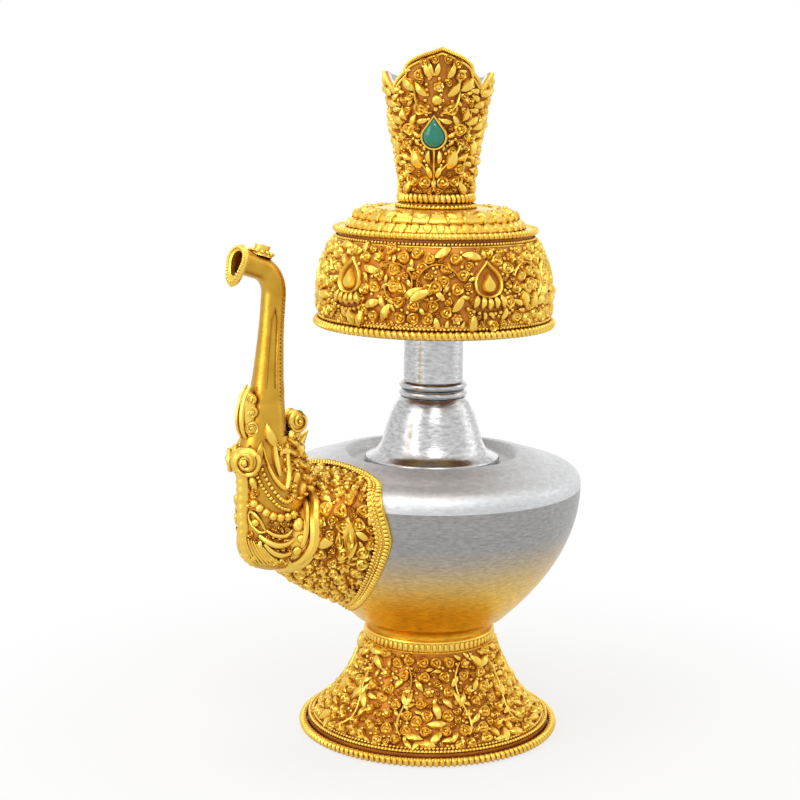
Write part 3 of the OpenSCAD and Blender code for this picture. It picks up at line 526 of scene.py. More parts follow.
bowl = {"foot": ((22, 37), (22, 39.1), (23.4, 40.9), (27.2, 42)),
        "belly": ((27.2, 42), (37.1, 51.2), (52.6, 67.5), (52.6, 89.3)),
        "outlet": ((19.2, 30), (20.4, 30), (20.4, 37)),
        "inside": ((51.4, 89.3), (51.4, 80), (40, 58), (26, 43.2), (19.2, 38.4))}
bowlLine = bez(*bowl["foot"], 10) + bez(*bowl["belly"], 40)[1:]
bowlShell = [*bowl["outlet"], *bowlLine, *bowl["inside"]]
turned("bodyBowl", bowlShell, 160, shadedBowlSilver, "vase", "body_bowl")

shoulder = {"rim": ((52.6, 89.35), (52.6, 93.3), (51.4, 95.6), (43.25, 96.8)),
            "top": ((43.25, 96.8), (39.25, 98.4), (36.2, 99.8), (31.2, 100.2)), "wall": 1.1,
            "well": ((30.6, 100.15), (30.1, 99.9), (29.6, 99.4), (29.1, 97.4), (28.6, 97.0), (11.5, 97.0))}
shoulderLine = bez(*shoulder["rim"], 20) + bez(*shoulder["top"], 14)[1:] + list(shoulder["well"])
shoulderShell = wall(shoulderLine, shoulder["wall"])
turned("bodyShoulder", shoulderShell, 160, litShoulderSilver, "vase", "body_shoulder")

neck = {"flange": (22.5, 98.2, 1.2), "bell": ((20.5, 100.1), (15.9, 103.5), (16.6, 114.2), (11.45, 120)),
        "inside": ((10.35, 120), (10.35, 117.6), (13.0, 112), (16.7, 98.4), (16.7, 97.0)), "bore": 10.35,
        "tube": ((10.3, 116), (10.3, 171.6), (10.1, 171.8), (9.4, 171.8), (9.2, 171.6), (9.2, 116))}
mouldings = ({"name": "neckMouldingLower", "node": "neck_moulding_lower", "ring": (10.55, 121.4, 1.4),
              "span": (120, 122.8)},
             {"name": "neckMouldingUpper", "node": "neck_moulding_upper", "ring": (10.5, 124.2, 1.35),
              "span": (122.85, 125.6)})


def arc(r, z, size, angles):
    return [(r + size * math.cos(math.radians(a)), z + size * math.sin(math.radians(a))) for a in angles]


flange = arc(*neck["flange"], range(-90, 61, 15))
bell = [*flange, *bez(*neck["bell"], 24), *neck["inside"]]
turned("neckBell", bell, 128, silver, "vase", "neck_bell")
for ring in mouldings:
    low, high = ((neck["bore"], z) for z in ring["span"])
    line = [low, *arc(*ring["ring"], range(-80, 90, 17)), high]
    turned(ring["name"], line, 128, silver, "vase", ring["node"])
turned("neckTube", neck["tube"], 96, silver, "vase", "neck_tube")
print("bowl and neck built")


# spout shield: a funnel from its border on the bowl to the beast's neck

shield = {"far": (-69.0, 79.0, 8.2, 8.4), "mid": -8.8, "half": (26.0, 26.3, 32.6), "bulge": 2.2, "lines": 240,
          "borderSteps": 720, "seed": 5}
profile = bowlLine + shoulderLine[1:-6]
profileSteps = [0.0]
for p, q in zip(profile, profile[1:]):
    profileSteps.append(profileSteps[-1] + math.dist(p, q))
seamStep = profileSteps[len(bowlLine) - 1]


def bowlAt(q):  # radius and height at a distance along the profile from the seam, upwards
    i = next((k for k in range(len(profile) - 2) if profileSteps[k + 1] >= q + seamStep), len(profile) - 2)
    t = (q + seamStep - profileSteps[i]) / max(profileSteps[i + 1] - profileSteps[i], 1e-6)
    return Vector(profile[i]).lerp(Vector(profile[i + 1]), t)


def borderPoint(phi, out, lift):  # an oval with broad shoulders and a narrower chin, wrapped on the bowl
    wide, up, down = shield["half"]
    c, s = math.cos(phi), math.sin(phi)
    power, tall = (0.94, up + 0.25 * out) if s > 0 else (1.5, down + 0.7 * out)
    y = math.copysign(abs(c) ** power, c) * (wide + out)
    q = shield["mid"] + math.copysign(abs(s) ** power, s) * tall
    r, z = bowlAt(q)
    slope = (bowlAt(q + 0.6) - bowlAt(q - 0.6)).normalized()
    x = -math.sqrt(max(r * r - y * y, 1))
    n = Vector((x * slope.y / r, y * slope.y / r, -slope.x))
    return Vector((x, y, z)) + n * lift


shieldLines = []
for i in range(shield["lines"]):
    phi = -2 * pi * i / shield["lines"]
    x, z, w, h = shield["far"]
    shieldLines.append((borderPoint(phi, 0, 0.3), Vector((x, w * math.cos(phi), z + h * math.sin(phi)))))


def shieldSurface(u, v):  # v runs from 0 at the bowl to 1 at the neck
    count = len(shieldLines)
    turn = (u / (2 * pi) * count) % count
    first, second = shieldLines[int(turn) % count], shieldLines[(int(turn) + 1) % count]
    low, high = (a.lerp(b, turn % 1) for a, b in zip(first, second))
    p = low.lerp(high, v)
    away = Vector((0, p.y, p.z - shield["far"][1])).normalized()
    return p + away * shield["bulge"] * math.sin(pi * min(max(v, 0), 1))


def cheekEdge(u):  # where the cheeks begin on the funnel
    return 0.66 + 0.22 * max(0, math.sin(u)) ** 2


bm = bmesh.new()
joinRings(bm, [[bm.verts.new(shieldSurface(2 * pi * i / 96, j / 14)) for i in range(96)] for j in range(15)])
piece("spoutShield", bm, shadedBacking, "vase", ["spout_shield"])

bm = bmesh.new()
rnd = random.Random(shield["seed"])
ornamentField(bm, shieldSurface, (0, 2 * pi, 0.03, 0.9), rnd, keep=lambda u, v: v < cheekEdge(u) - 0.02,
              leaves=(0.0, 0.22), sizes=((2.5, 500), (1.9, 1200), (1.4, 2400), (0.95, 3200), (0.65, 3000)))
piece("shieldScrollwork", bm, gold, "vase", [])

borderSteps = [0.0]
for i in range(shield["borderSteps"]):
    p, q = (borderPoint(2 * pi * k / shield["borderSteps"], 2, 0) for k in (i, i + 1))
    borderSteps.append(borderSteps[-1] + (q - p).length)


def borderTurn(share):  # the angle at a share of the way round
    goal = share * borderSteps[-1]
    i = next(k for k in range(shield["borderSteps"]) if borderSteps[k + 1] >= goal)
    part = (goal - borderSteps[i]) / max(borderSteps[i + 1] - borderSteps[i], 1e-6)
    return 2 * pi * (i + part) / shield["borderSteps"]


bm = bmesh.new()
for out, size, count, tall in ((3.4, (0.75, 1.2, 0.75), 124, 1.5), (1.9, (0.55, 0.55, 0.55), 150, 1.5),
                               (0.5, (0.62, 0.95, 0.62), 112, 1.6)):  # two ropes with a bead wire between
    for i in range(count):
        phi = borderTurn(i / count)
        p = borderPoint(phi, out, tall)
        q = borderPoint(phi + 0.01, out, tall)
        along = (q - p).normalized()
        away = (p - borderPoint(phi, out, 0)).normalized()
        across = away.cross(along).normalized()
        turn = Matrix((along, across, away)).transposed().to_4x4()
        bead(bm, p, size, turn)
rings = []
for out, lift in ((4.6, 0.0), (4.4, 1.0), (3.4, 1.5), (0.2, 1.6), (-0.4, 0.2)):
    rings.append([bm.verts.new(borderPoint(borderTurn(i / 120), out, lift)) for i in range(120)])
joinRings(bm, rings)
piece("shieldBorder", bm, gold, "vase", ["shield_border"])
print("shield built")


# the beast's head: flattened sideways, with its outer face at angle 0; its features are placed where the
# camera sees them, by their distance right of the tube's axis and their height

head = {"x": -71.2, "flat": 0.8, "inward": 3.7, "inwardFrom": 97, "inwardRise": 19,
        "sight": (0.766, 0.643), "seed": 8}
headLine = bez((0.5, 68.4), (7.6, 68.4), (10.6, 71.4), (11.6, 77.0), 8)
headLine += bez((11.6, 77.0), (12.8, 83), (12.4, 92), (10.9, 100), 10)[1:]
headLine += bez((10.9, 100), (10.0, 106), (8.8, 110), (8.2, 114), 8)[1:]


def headAxis(z):  # the skull sits nearer the bowl than the tube
    t = min(1, max(0, (z - head["inwardFrom"]) / head["inwardRise"]))
    return head["x"] + head["inward"] * (1 - t * t * (3 - 2 * t))


def headSurface(u, z):
    r = headLine[-1][0]
    for (r0, z0), (r1, z1) in zip(headLine, headLine[1:]):
        if z <= z1:
            r = lerp(r0, r1, (z - z0) / (z1 - z0 or 1))
            break
    reach = r * math.cos(u) * (1 + 0.3 * max(0, -math.cos(u)))  # longer towards the bowl
    return Vector((headAxis(z) - reach, -head["flat"] * r * math.sin(u), z))


def seen(p):  # how far right of the tube's axis the camera sees a point
    alongX, alongY = head["sight"]
    return alongX * (p.x - head["x"]) - alongY * p.y


def headAngle(s, z):
    low, high = -0.55, 2.5
    for _ in range(24):
        mid = (low + high) / 2
        low, high = (mid, high) if seen(headSurface(mid, z)) < s else (low, mid)
    return low


def cheekTurn(s, z):  # the same for the end of the shield's funnel, which the cheeks cover
    spots = [(pi + 0.02 * i, 0.5 + 0.0125 * j) for i in range(-70, 71) for j in range(41)]
    return min(spots, key=lambda k: (seen(shieldSurface(*k)) - s) ** 2 + (shieldSurface(*k).z - z) ** 2)


bm = bmesh.new()
rings = [[bm.verts.new(headSurface(2 * pi * i / 64, z)) for i in range(64)] for r, z in headLine[1:]]
joinRings(bm, rings)
bm.faces.new(rings[0])
piece("makaraHead", bm, smoothGold, "vase", ["makara_head"])


def onHead(bm, shape, s, z, turn=0.0, lift=0.0):
    u = headAngle(s, z)
    for side in (1, -1):
        place = placer(headSurface, side * u, z, side * turn, lift)
        stamp(bm, ([(side * x, y, w) for x, y, w in shape[0]], shape[1]), place)


def ridge(bm, track, width, height):  # a ridge along points with their normals, thinner at its ends
    rows = []
    for i, (p, n) in enumerate(track):
        t = (track[min(i + 1, len(track) - 1)][0] - track[max(i - 1, 0)][0]).normalized()
        across = n.cross(t).normalized()
        thin = 0.35 + 0.65 * math.sin(pi * lerp(0.1, 0.9, i / (len(track) - 1)))
        section = ((1, -0.4), (0.6, 0.75 * height), (0, height), (-0.6, 0.75 * height), (-1, -0.4))
        rows.append([bm.verts.new(p + across * off * width * thin * 0.5 + n * (up * thin + 0.2))
                     for off, up in section])
    for a, b in zip(rows, rows[1:]):
        for j in range(4):
            bm.faces.new((a[j], a[j + 1], b[j + 1], b[j]))


def rounded(points):  # points joined by a smooth curve
    path = []
    for i in range(len(points) - 1):
        a, b, c, d = (Vector(points[min(max(k, 0), len(points) - 1)]) for k in (i - 1, i, i + 1, i + 2))
        for k in range(4):
            t = k / 4
            bend = (2 * a - 5 * b + 4 * c - d) * t * t + (3 * b - a - 3 * c + d) * t ** 3
            path.append(0.5 * (2 * b + (c - a) * t + bend))
    return path + [Vector(points[-1])]


def normalAt(surface, u, v, du, dv):
    p = surface(u, v)
    return p, (surface(u + du, v) - p).cross(surface(u, v + dv) - p).normalized()


def headWire(bm, points, width, height):
    for side in (1, -1):
        track = [normalAt(headSurface, side * headAngle(s, z), z, 0.01, 0.05) for s, z in rounded(points)]
        ridge(bm, track, width, height)


def cheekWire(bm, points, width, height):
    spots = rounded([cheekTurn(s, z) for s, z in points])
    for side in (1, -1):
        track = []
        for u, v in spots:
            p, n = normalAt(shieldSurface, u, v, 0.01, 0.005)
            n = n if n.y < 0 else -n
            track.append((Vector((p.x, side * p.y, p.z)), Vector((n.x, side * n.y, n.z))))
        ridge(bm, track, width, height)


def headBeads(bm, points, count, radius):
    path = rounded(points)
    for i in range(count):
        t = i / (count - 1) * (len(path) - 1)
        k = min(int(t), len(path) - 2)
        s, z = path[k].lerp(path[k + 1], t - k)
        for side in (1, -1):
            p, n = normalAt(headSurface, side * headAngle(s, z), z, 0.01, 0.05)
            bead(bm, p + n * radius * 0.5, (radius, radius, radius))


def tubeAlong(bm, path, radii, sides=8):
    rings = []
    for i, p in enumerate(path):
        p = Vector(p)
        t = (Vector(path[min(i + 1, len(path) - 1)]) - Vector(path[max(i - 1, 0)])).normalized()
        a = t.cross(Vector((0, 1, 0)) if abs(t.y) < 0.9 else Vector((1, 0, 0))).normalized()
        b = t.cross(a)
        r = radii[i] if isinstance(radii, (list, tuple)) else radii
        turns = [2 * pi * k / sides for k in range(sides)]
        rings.append([bm.verts.new(p + r * (a * math.cos(k) + b * math.sin(k))) for k in turns])
    joinRings(bm, rings)
    bm.faces.new(rings[0][::-1])
    bm.faces.new(rings[-1])


def ballAt(bm, u, z, size):
    bmesh.ops.create_uvsphere(bm, u_segments=24, v_segments=14, radius=1,
                              matrix=Matrix.Translation((head["x"] - u, 0, z)) @ Matrix.Diagonal((*size, 1)))


# a domed disc with a spiral on its face, on both sides of the head
def volute(bm, at, facing, r, thick, turns, start, hand):
    for side in (1, -1):
        a = math.radians(facing)
        out = Vector((-math.cos(a), -side * math.sin(a), 0))
        across = Vector((0, 0, 1)).cross(out)
        centre = Vector((head["x"] - at[0], -side * at[1], at[2]))
        turn = Matrix((across, Vector((0, 0, 1)), out)).transposed().to_4x4()
        place = Matrix.Translation(centre) @ turn @ Matrix.Diagonal((r, r, thick, 1))
        bmesh.ops.create_uvsphere(bm, u_segments=24, v_segments=12, radius=1, matrix=place)
        path = []
        for px, pz in spiralPath(0.94 * r, turns, start, hand, 36, 0.14):
            deep = thick * math.sqrt(max(0.02, 1 - (math.hypot(px, pz) / r) ** 2)) + 0.1 * r
            path.append(centre + across * side * px + Vector((0, 0, pz)) + out * deep)
        tubeAlong(bm, path, [lerp(0.17 * r, 0.12 * r, i / 36) for i in range(37)], 7)
        bead(bm, centre + out * (thick + 0.08 * r), (0.24 * r, 0.24 * r, 0.24 * r))


bm = bmesh.new()
trunk = bez((1.0, 70.6), (11.0, 72.4), (7.0, 92), (8.8, 104), 44)
folds = [min(2.5, 1.2 + 0.14 * i) + 0.2 * math.cos(2.1 * i) for i in range(45)]
tubeAlong(bm, [(head["x"] - u, 0, z) for u, z in trunk], folds, 14)
ballAt(bm, 9.0, 106.5, (4.2, 3.6, 4.4))
volute(bm, (9.3, 3.5, 106.6), 34, 4.9, 1.9, 1.9, 0.6, -1)
ballAt(bm, 6.9, 122.6, (2.9, 3.2, 7.4))
for z, r, hand in ((126.6, 1.8, 1), (122.4, 2.2, -1), (117.4, 2.6, 1)):
    volute(bm, (6.9, 2.2, z), 58, r, 1.0, 1.5, z, hand)
for y in (-1.2, 1.2):  # ribs on the leaf scroll
    rib = bez((7.4, 113.4), (11.4, 115.6), (10.6, 126), (6.2, 131.0), 14)
    swell = [0.4 + 0.45 * math.sin(pi * i / 14) for i in range(15)]
    tubeAlong(bm, [(head["x"] - u, y, z) for u, z in rib], swell, 7)
for side in (-1, 1):
    for i in range(20):  # bead row beside the trunk
        u, z = bez((5.4, 73.6), (8.4, 78), (6.4, 94), (7.0, 102), 19)[i]
        bead(bm, (head["x"] - u, side * 3.2, z), (0.6, 0.6, 0.75))
piece("makaraTrunk", bm, gold, "vase", ["makara_trunk"])

bm = bmesh.new()
inner = bez((-8.0, 96), (-12.6, 100), (-10.6, 107), (-11.4, 114), 16)
tubeAlong(bm, [(head["x"] - u, 0, z) for u, z in inner], [3.2 - 0.05 * i for i in range(17)], 12)
ballAt(bm, -11.2, 117.6, (3.6, 3.0, 3.6))
volute(bm, (-11.2, 2.0, 117.6), 90, 3.8, 1.6, 1.5, 3.4, 1)
horn = ((9, 108.5), (13.6, 110), (17.2, 113.6))
tubeAlong(bm, [(head["x"] + x, 0, z) for x, z in horn], [3.2, 2.2, 0.3], 10)
piece("makaraJaw", bm, gold, "vase", ["makara_jaw"])

bm = bmesh.new()
headWire(bm, [(-4.4, 89.2), (-3.3, 90.0), (-1.7, 88.8), (-0.2, 86.6), (1.1, 83.7)], 1.5, 1.3)
headWire(bm, [(-4.4, 89.2), (-3.9, 87.0), (-2.5, 85.0), (-0.7, 83.5), (1.1, 83.7)], 1.3, 1.2)
onHead(bm, domeShape(1.5, 1.6), -2.1, 86.6, 0, 0.2)
piece("makaraEyes", bm, gold, "vase", ["makara_eyes"])

bm = bmesh.new()
rnd = random.Random(head["seed"])
ornamentField(bm, headSurface, (0, pi, 71.5, 112), rnd, mirrorAt=0.0,
              sizes=((1.8, 300), (1.3, 500), (0.9, 700)),
              keep=lambda u, z: (u > 1.5 and z > 93) or (u < 0.5 and z > 91))
ornamentField(bm, headSurface, (0.3, 2.0, 73, 88.5), rnd, mirrorAt=0.0,  # fine curls below the brow
              leaves=(0.0, 0.15), sizes=((1.2, 300), (0.95, 500), (0.6, 700)),
              keep=lambda u, z: z < 82.5 or u > headAngle(1.8, z))
rings = []  # cheek plates over the funnel's end
for share, lift in ((0, -0.3), (0.03, 0.7), (0.1, 0.9), (0.35, 0.6), (0.7, 0.4), (0.98, 0.2)):
    row = []
    for i in range(96):
        u = 2 * pi * i / 96
        p, n = normalAt(shieldSurface, u, lerp(cheekEdge(u), 1, share), 0.01, 0.005)
        outward = n.dot(Vector((0, p.y, p.z - shield["far"][1]))) > 0
        row.append(bm.verts.new(p + n * (lift if outward else -lift)))
    rings.append(row)
joinRings(bm, rings)
cheekWire(bm, [(13.4, 96.8), (15.7, 92.8), (16.9, 87.9), (16.9, 82.6), (15.7, 77.6), (13.0, 73.9),
               (10.0, 72.1)], 4.8, 2.6)
cheekWire(bm, [(11.3, 93.9), (13.4, 91.0), (14.4, 86.6), (14.1, 81.7), (12.3, 78.1)], 3.0, 2.0)
for s, z, r in ((11.3, 85.0, 2.3), (12.2, 80.8, 1.5), (10.7, 89.2, 1.6), (10.9, 76.8, 1.7)):
    u, v = cheekTurn(s, z)
    for turn in (u, -pi - u):
        stamp(bm, domeShape(r, 0.9 * r, 12), placer(shieldSurface, turn, v, 0, 0.5))
for k in range(7):  # mane under the eye
    hair = [(-5.4 + 0.9 * k, 81.6 - 0.5 * k), (-4.0 + 1.1 * k, 77.0 - 0.3 * k),
            (-1.8 + 1.35 * k, 72.6 - 0.1 * k)]
    headWire(bm, hair, 1.5, 1.3)
# lips and cheek folds, then bead rows and ridges
headWire(bm, [(-0.9, 82.5), (1.4, 80.7), (4.5, 79.2), (7.6, 79.4), (9.9, 81.2)], 2.8, 2.0)
headWire(bm, [(0.7, 79.6), (3.3, 76.8), (6.5, 75.5), (9.2, 76.6)], 2.6, 1.8)
headWire(bm, [(1.2, 84.2), (3.9, 82.5), (6.9, 82.1), (9.0, 83.7)], 1.9, 1.6)
headBeads(bm, [(-2.5, 92.8), (0.2, 90.7), (3.3, 88.8), (6.5, 88.1), (9.3, 88.7)], 7, 1.5)
headBeads(bm, [(-1.1, 107.1), (0.4, 102.6), (2.7, 98.2), (5.4, 94.6), (7.4, 93.0), (9.0, 94.1), (9.9, 98.2),
               (10.2, 102.6), (10.4, 106.7)], 24, 0.78)
headBeads(bm, [(-2.3, 103.5), (-0.5, 99.1), (2.3, 95.1), (5.4, 91.6), (8.0, 90.3)], 16, 0.7)
headWire(bm, [(-0.2, 112.0), (1.1, 107.1), (3.3, 101.8), (5.6, 98.4), (7.0, 97.6), (7.8, 100.9), (7.4, 106.2),
              (6.9, 111.6)], 2.0, 1.9)
headWire(bm, [(3.3, 112.5), (3.9, 107.1), (5.3, 101.8)], 2.4, 1.6)
onHead(bm, leafShape(8.6, 4.6, 2.2, 0.2), 3.9, 111.1, 0.5, 0.4)
onHead(bm, curl(2.2, 1), 8.6, 113.4, 0, 0.5)
onHead(bm, leafShape(6.5, 3.6, 2.0, -0.25), 11.3, 106.2, -0.5, 0.3)
for s, z, r in ((3.3, 73.9, 1.7), (6.3, 73.2, 1.9), (9.3, 73.9, 1.7)):
    onHead(bm, curl(r, 1), s, z, 0, 0.3)
piece("makaraFins", bm, gold, "vase", ["makara_fins"])
print("beast's head built")


# spout tube: it leans towards the neck

spout = {"lean": 4.5, "foot": 118.0, "bend": 9.0, "turn": 77, "top": 160.0, "run": 7.0, "radius": 4.0,
         "walls": (4.05, 3.0), "calyx": ((9.4, 105.5), (8.0, 112), (6.3, 119), (5.35, 131)), "roundFrom": 107,
         "roundRise": 16,
         "tube": ((5.7, 118), (5.75, 123), (5.65, 128.6), (5.15, 132.5), (4.7, 139), (4.25, 146), (4.02, 152),
                  (4.0, 160))}


def leaned(bm):
    turn = Matrix.Rotation(math.radians(spout["lean"]), 3, "Y")
    bmesh.ops.rotate(bm, cent=(head["x"], 0, spout["foot"]), matrix=turn, verts=bm.verts)
    return bm


bm = bmesh.new()
calyx = bez(*spout["calyx"], 18)
lathe(bm, calyx, 48, x=head["x"])
calyxSurface = latheSurface(calyx, head["x"])[0]
for side in (-1, 1):
    for reach, bend, u, turn in ((7.0, 0.25, 1.0, 0.3), (6.5, -0.25, 2.3, 0.2)):
        leaf = leafShape(reach, 3.4, 1.6, bend * side)
        stamp(bm, leaf, placer(calyxSurface, pi + side * u, 0.6, turn * side, 0.2))
for v in bm.verts:  # flattened where it meets the head
    v.co.y *= lerp(head["flat"], 1, min(1, max(0, (v.co.z - spout["roundFrom"]) / spout["roundRise"])))
piece("spoutCalyx", leaned(bm), smoothGold, "vase", ["spout_calyx"])

bm = bmesh.new()
fine = []
for (r0, z0), (r1, z1) in zip(spout["tube"], spout["tube"][1:]):
    fine += [(lerp(r0, r1, t / 4), lerp(z0, z1, t / 4)) for t in range(4)]
fine.append(spout["tube"][-1])
lathe(bm, fine, 40, x=head["x"])
tubeSurface, tubeLength = latheSurface(fine, head["x"])
for i in range(30):  # bead seam along the tube
    for u in (-1.25, 1.25):
        stamp(bm, domeShape(0.42, 0.6, 6), placer(tubeSurface, u, 3 + (tubeLength - 4) * i / 29, 0, 0))
for side in (-1, 1):
    crease = wireShape([(side * 1.6, 0), (side * 1.5, 12), (side * 1.3, 22), (0, 26)], 0.6, 0.7)
    stamp(bm, crease, placer(tubeSurface, -pi / 2 - 0.4, 12, 0, 0))
piece("spoutTube", leaned(bm), smoothGold, "vase", ["spout_tube"])


def bendPoint(a):
    r = spout["bend"]
    return Vector((head["x"] + r * (math.cos(a) - 1), 0, spout["top"] + r * math.sin(a)))


bendEnd = math.radians(spout["turn"])
flow = Vector((-math.sin(bendEnd), 0, math.cos(bendEnd)))
upward = Vector((math.cos(bendEnd), 0, math.sin(bendEnd)))
mouth = bendPoint(bendEnd) + flow * spout["run"]
bm = bmesh.new()
curve = [bendPoint(bendEnd * i / 16) for i in range(17)] + [bendPoint(bendEnd) + flow * 0.5]
tubeAlong(bm, curve, spout["radius"], 24)
piece("spoutBend", leaned(bm), smoothGold, "vase", ["spout_bend"])
bm = bmesh.new()
sideways = Vector((0, 1, 0))
for radius in spout["walls"]:  # outer and inner
    rings = []
    for k in range(3):
        c = bendPoint(bendEnd) + flow * (3.5 * k)
        turns = [2 * pi * i / 24 for i in range(24)]
        ring = [c + radius * (upward * math.cos(a) + sideways * math.sin(a)) for a in turns]
        rings.append([bm.verts.new(p) for p in ring])
    joinRings(bm, rings)
piece("spoutNozzle", leaned(bm), smoothGold, "vase", ["spout_nozzle"])


def lipPoint(a, r, along):  # a point of the mouth, whose lip is drawn out downwards
    return mouth + flow * along - upward * (r * math.cos(a)) + sideways * (r * math.sin(a))


bm = bmesh.new()
rows = []
for share, along in ((1.0, 0.0), (1.06, 0.8), (0.98, 1.7), (0.78, 1.7), (0.62, 1.2), (0.58, -0.4)):
    turns = [2 * pi * i / 48 for i in range(48)]
    lip = [(a, (4.9 + 3.4 * max(0.0, math.cos(a)) ** 5) * share) for a in turns]
    rows.append([bm.verts.new(lipPoint(a, r, along)) for a, r in lip])
joinRings(bm, rows)
for i in range(34):
    a = 2 * pi * i / 34
    bead(bm, lipPoint(a, (4.7 + 3.2 * max(0.0, math.cos(a)) ** 5) * 0.9, 1.7), (0.55, 0.55, 0.55))
piece("spoutMouthRim", leaned(bm), gold, "vase", ["spout_mouth_rim"])

bm = bmesh.new()
tilt = Matrix.Translation(bendPoint(bendEnd)) @ Matrix.Rotation(math.radians(90 - spout["turn"]), 4, "Y")
for r1, r2, depth, z in ((3.9, 3.4, 1.5, 4.2), (2.4, 2.5, 2.6, 5.7)):
    bmesh.ops.create_cone(bm, cap_ends=True, segments=24, radius1=r1, radius2=r2, depth=depth,
                          matrix=tilt @ Matrix.Translation((0, 0, z)))
for i in range(12):
    p = tilt @ Vector((3.5 * math.cos(2 * pi * i / 12), 3.5 * math.sin(2 * pi * i / 12), 4.7))
    bead(bm, p, (0.95, 0.95, 0.7))
piece("spoutBoss", leaned(bm), gold, "vase", ["spout_boss"])
print("spout built")


# hood

hood = {"line": ((40.2, 149.1), (41.5, 156.1), (39.9, 167.1), (35.3, 174.9)), "sunk": 0.5, "wall": 1.0,
        "turn": -13.5, "panels": 5, "spread": 39.94, "rosette": 2.3, "round": 40, "jewel": 14.4, "seed": 23}
drumFace = [(r - hood["sunk"], z) for r, z in bez(*hood["line"], 24)]
shell = [(39.1, 144.8), (39.1, 148.2)] + drumFace + [(33.7, 175.4), (33.7, 176.6), (33.6, 177.3)]
turned("hoodDrum", wall(shell, hood["wall"]), 128, shadedBacking, "hood", "hood_drum")

drumSurface, drumLength = latheSurface(drumFace)
panelAngles = [math.radians(-90 + hood["turn"] + 360 / hood["panels"] * i) for i in range(hood["panels"])]
between = pi / hood["panels"]

bm = bmesh.new()
rnd = random.Random(hood["seed"])
mains = []
for row in (2, 7, 12):  # the rosettes of the solid stand in the same places
    z = bez(*hood["line"], 14)[row][1]
    v = min((drumLength * i / 200 for i in range(201)), key=lambda s: abs(drumSurface(0, s).z - z))
    steps = [between + math.radians(hood["spread"]) * (k / 3 - 0.5) for k in range(4)]
    mains += [(a + step, v, hood["rosette"]) for a in panelAngles for step in steps]
panelMarks = [(x, v) for v in (7, 10.5, 14, 17) for x in (-3, 0, 3)] + [(0, 20)]
ornamentField(bm, drumSurface, (0, 2 * pi, 0.8, drumLength - 0.8), rnd, mains,
              blocked=[(a + x / hood["round"], v, 2.4) for a in panelAngles for x, v in panelMarks])
for a in panelAngles:  # large vines between the panels
    for side in (-1, 1):
        u = a + between + side * 0.17
        vine = spiralPath(8.4, 0.95, pi / 2 - side * 1.2, side, 30, 0.35)
        stamp(bm, wireShape(vine, 0.85, 1.3), placer(drumSurface, u, drumLength * 0.5, 0, 0.25))
        stamp(bm, curl(2.5, side), placer(drumSurface, u, drumLength * 0.5, 0, 0.45))
    leaf = leafShape(8.0, 4.4, 1.6, 0.2)
    stamp(bm, leaf, placer(drumSurface, a + between - 0.03, drumLength * 0.33, -0.9, 0.5))
piece("hoodScrollwork", bm, gold, "hood", ["hood_scrollwork"])

bm = bmesh.new()
for a in panelAngles:
    place = placer(drumSurface, a, hood["jewel"], 0, 0.1)
    flame = bez((0, 7.2), (-1.2, 4.8), (-5.4, 3.4), (-4.6, -1.2), 10)
    flame += bez((-4.6, -1.2), (-4.2, -3.4), (-2, -4.4), (0, -4.4), 8)[1:]
    stamp(bm, wireShape(flame, 1.3, 1.5), place)
    stamp(bm, wireShape([(-x, y) for x, y in flame], 1.3, 1.5), place)
    drop = [(0, 4.0), *arc(0, -0.9, 2.5, range(150, 391, 24))]
    n = len(drop)
    dome = [(x * 0.72, -0.5 + (y + 0.5) * 0.72, 1.6) for x, y in drop]
    verts = [(x, y, 0.0) for x, y in drop] + dome + [(0, -0.5, 2.1)]
    faces = [(i, (i + 1) % n, n + (i + 1) % n, n + i) for i in range(n)]
    faces += [(n + i, n + (i + 1) % n, 2 * n) for i in range(n)]
    stamp(bm, (verts, faces), place)
    for k in range(5):  # lotus seat
        x = (k - 2) * 2.7
        v = 6.0 + 0.35 * abs(k - 2)
        place = placer(drumSurface, a + x / hood["round"], v, (2 - k) * -0.16, 0.5)
        stamp(bm, leafShape(4.4, 3.0, 1.7), place)
    for k in range(9):
        x = (k - 4) * 1.9
        v = 4.6 + 0.11 * (k - 4) ** 2
        stamp(bm, domeShape(0.85, 1.2, 6), placer(drumSurface, a + x / hood["round"], v, 0, 0.3))
piece("hoodJewels", bm, gold, "hood", ["hood_jewels"])

rope("hoodRope", "hood_rope", "hood", {
    "rows": ((124, 40.75, 146.5, (1.45, 1.15, 1.62), 0.5),), "core": (40.2, 146.4, (1.2, 1.3))})
rope("hoodBeadWire", "hood_bead_wire", "hood", {
    "rows": ((190, 39.9, 148.6, (0.62, 0.62, 0.62), 0), (180, 39.7, 149.7, (0.5, 0.6, 0.45), 0.6)),
    "core": (39.4, 148.8, (0.5, 0.8))})
rope("cavettoBeadWire", "cavetto_bead_wire", "hood", {
    "rows": ((170, 34.3, 175.9, (0.55, 0.6, 0.5), 0.5),), "core": (34.2, 175.0, (0.5, 0.4))})

plate = ((9.45, 177.3), (33.4, 177.3), (33.4, 179.0), (9.45, 179.0))
turned("hoodTopPlate", plate, 96, gold, "hood", "hood_top_plate")
rope("hoodTopRope", "hood_top_rope", "hood", {
    "rows": ((106, 34.45, 178.4, (1.1, 0.95, 1.15), 0.12),), "core": (34.1, 178.3, (0.8, 0.95))})

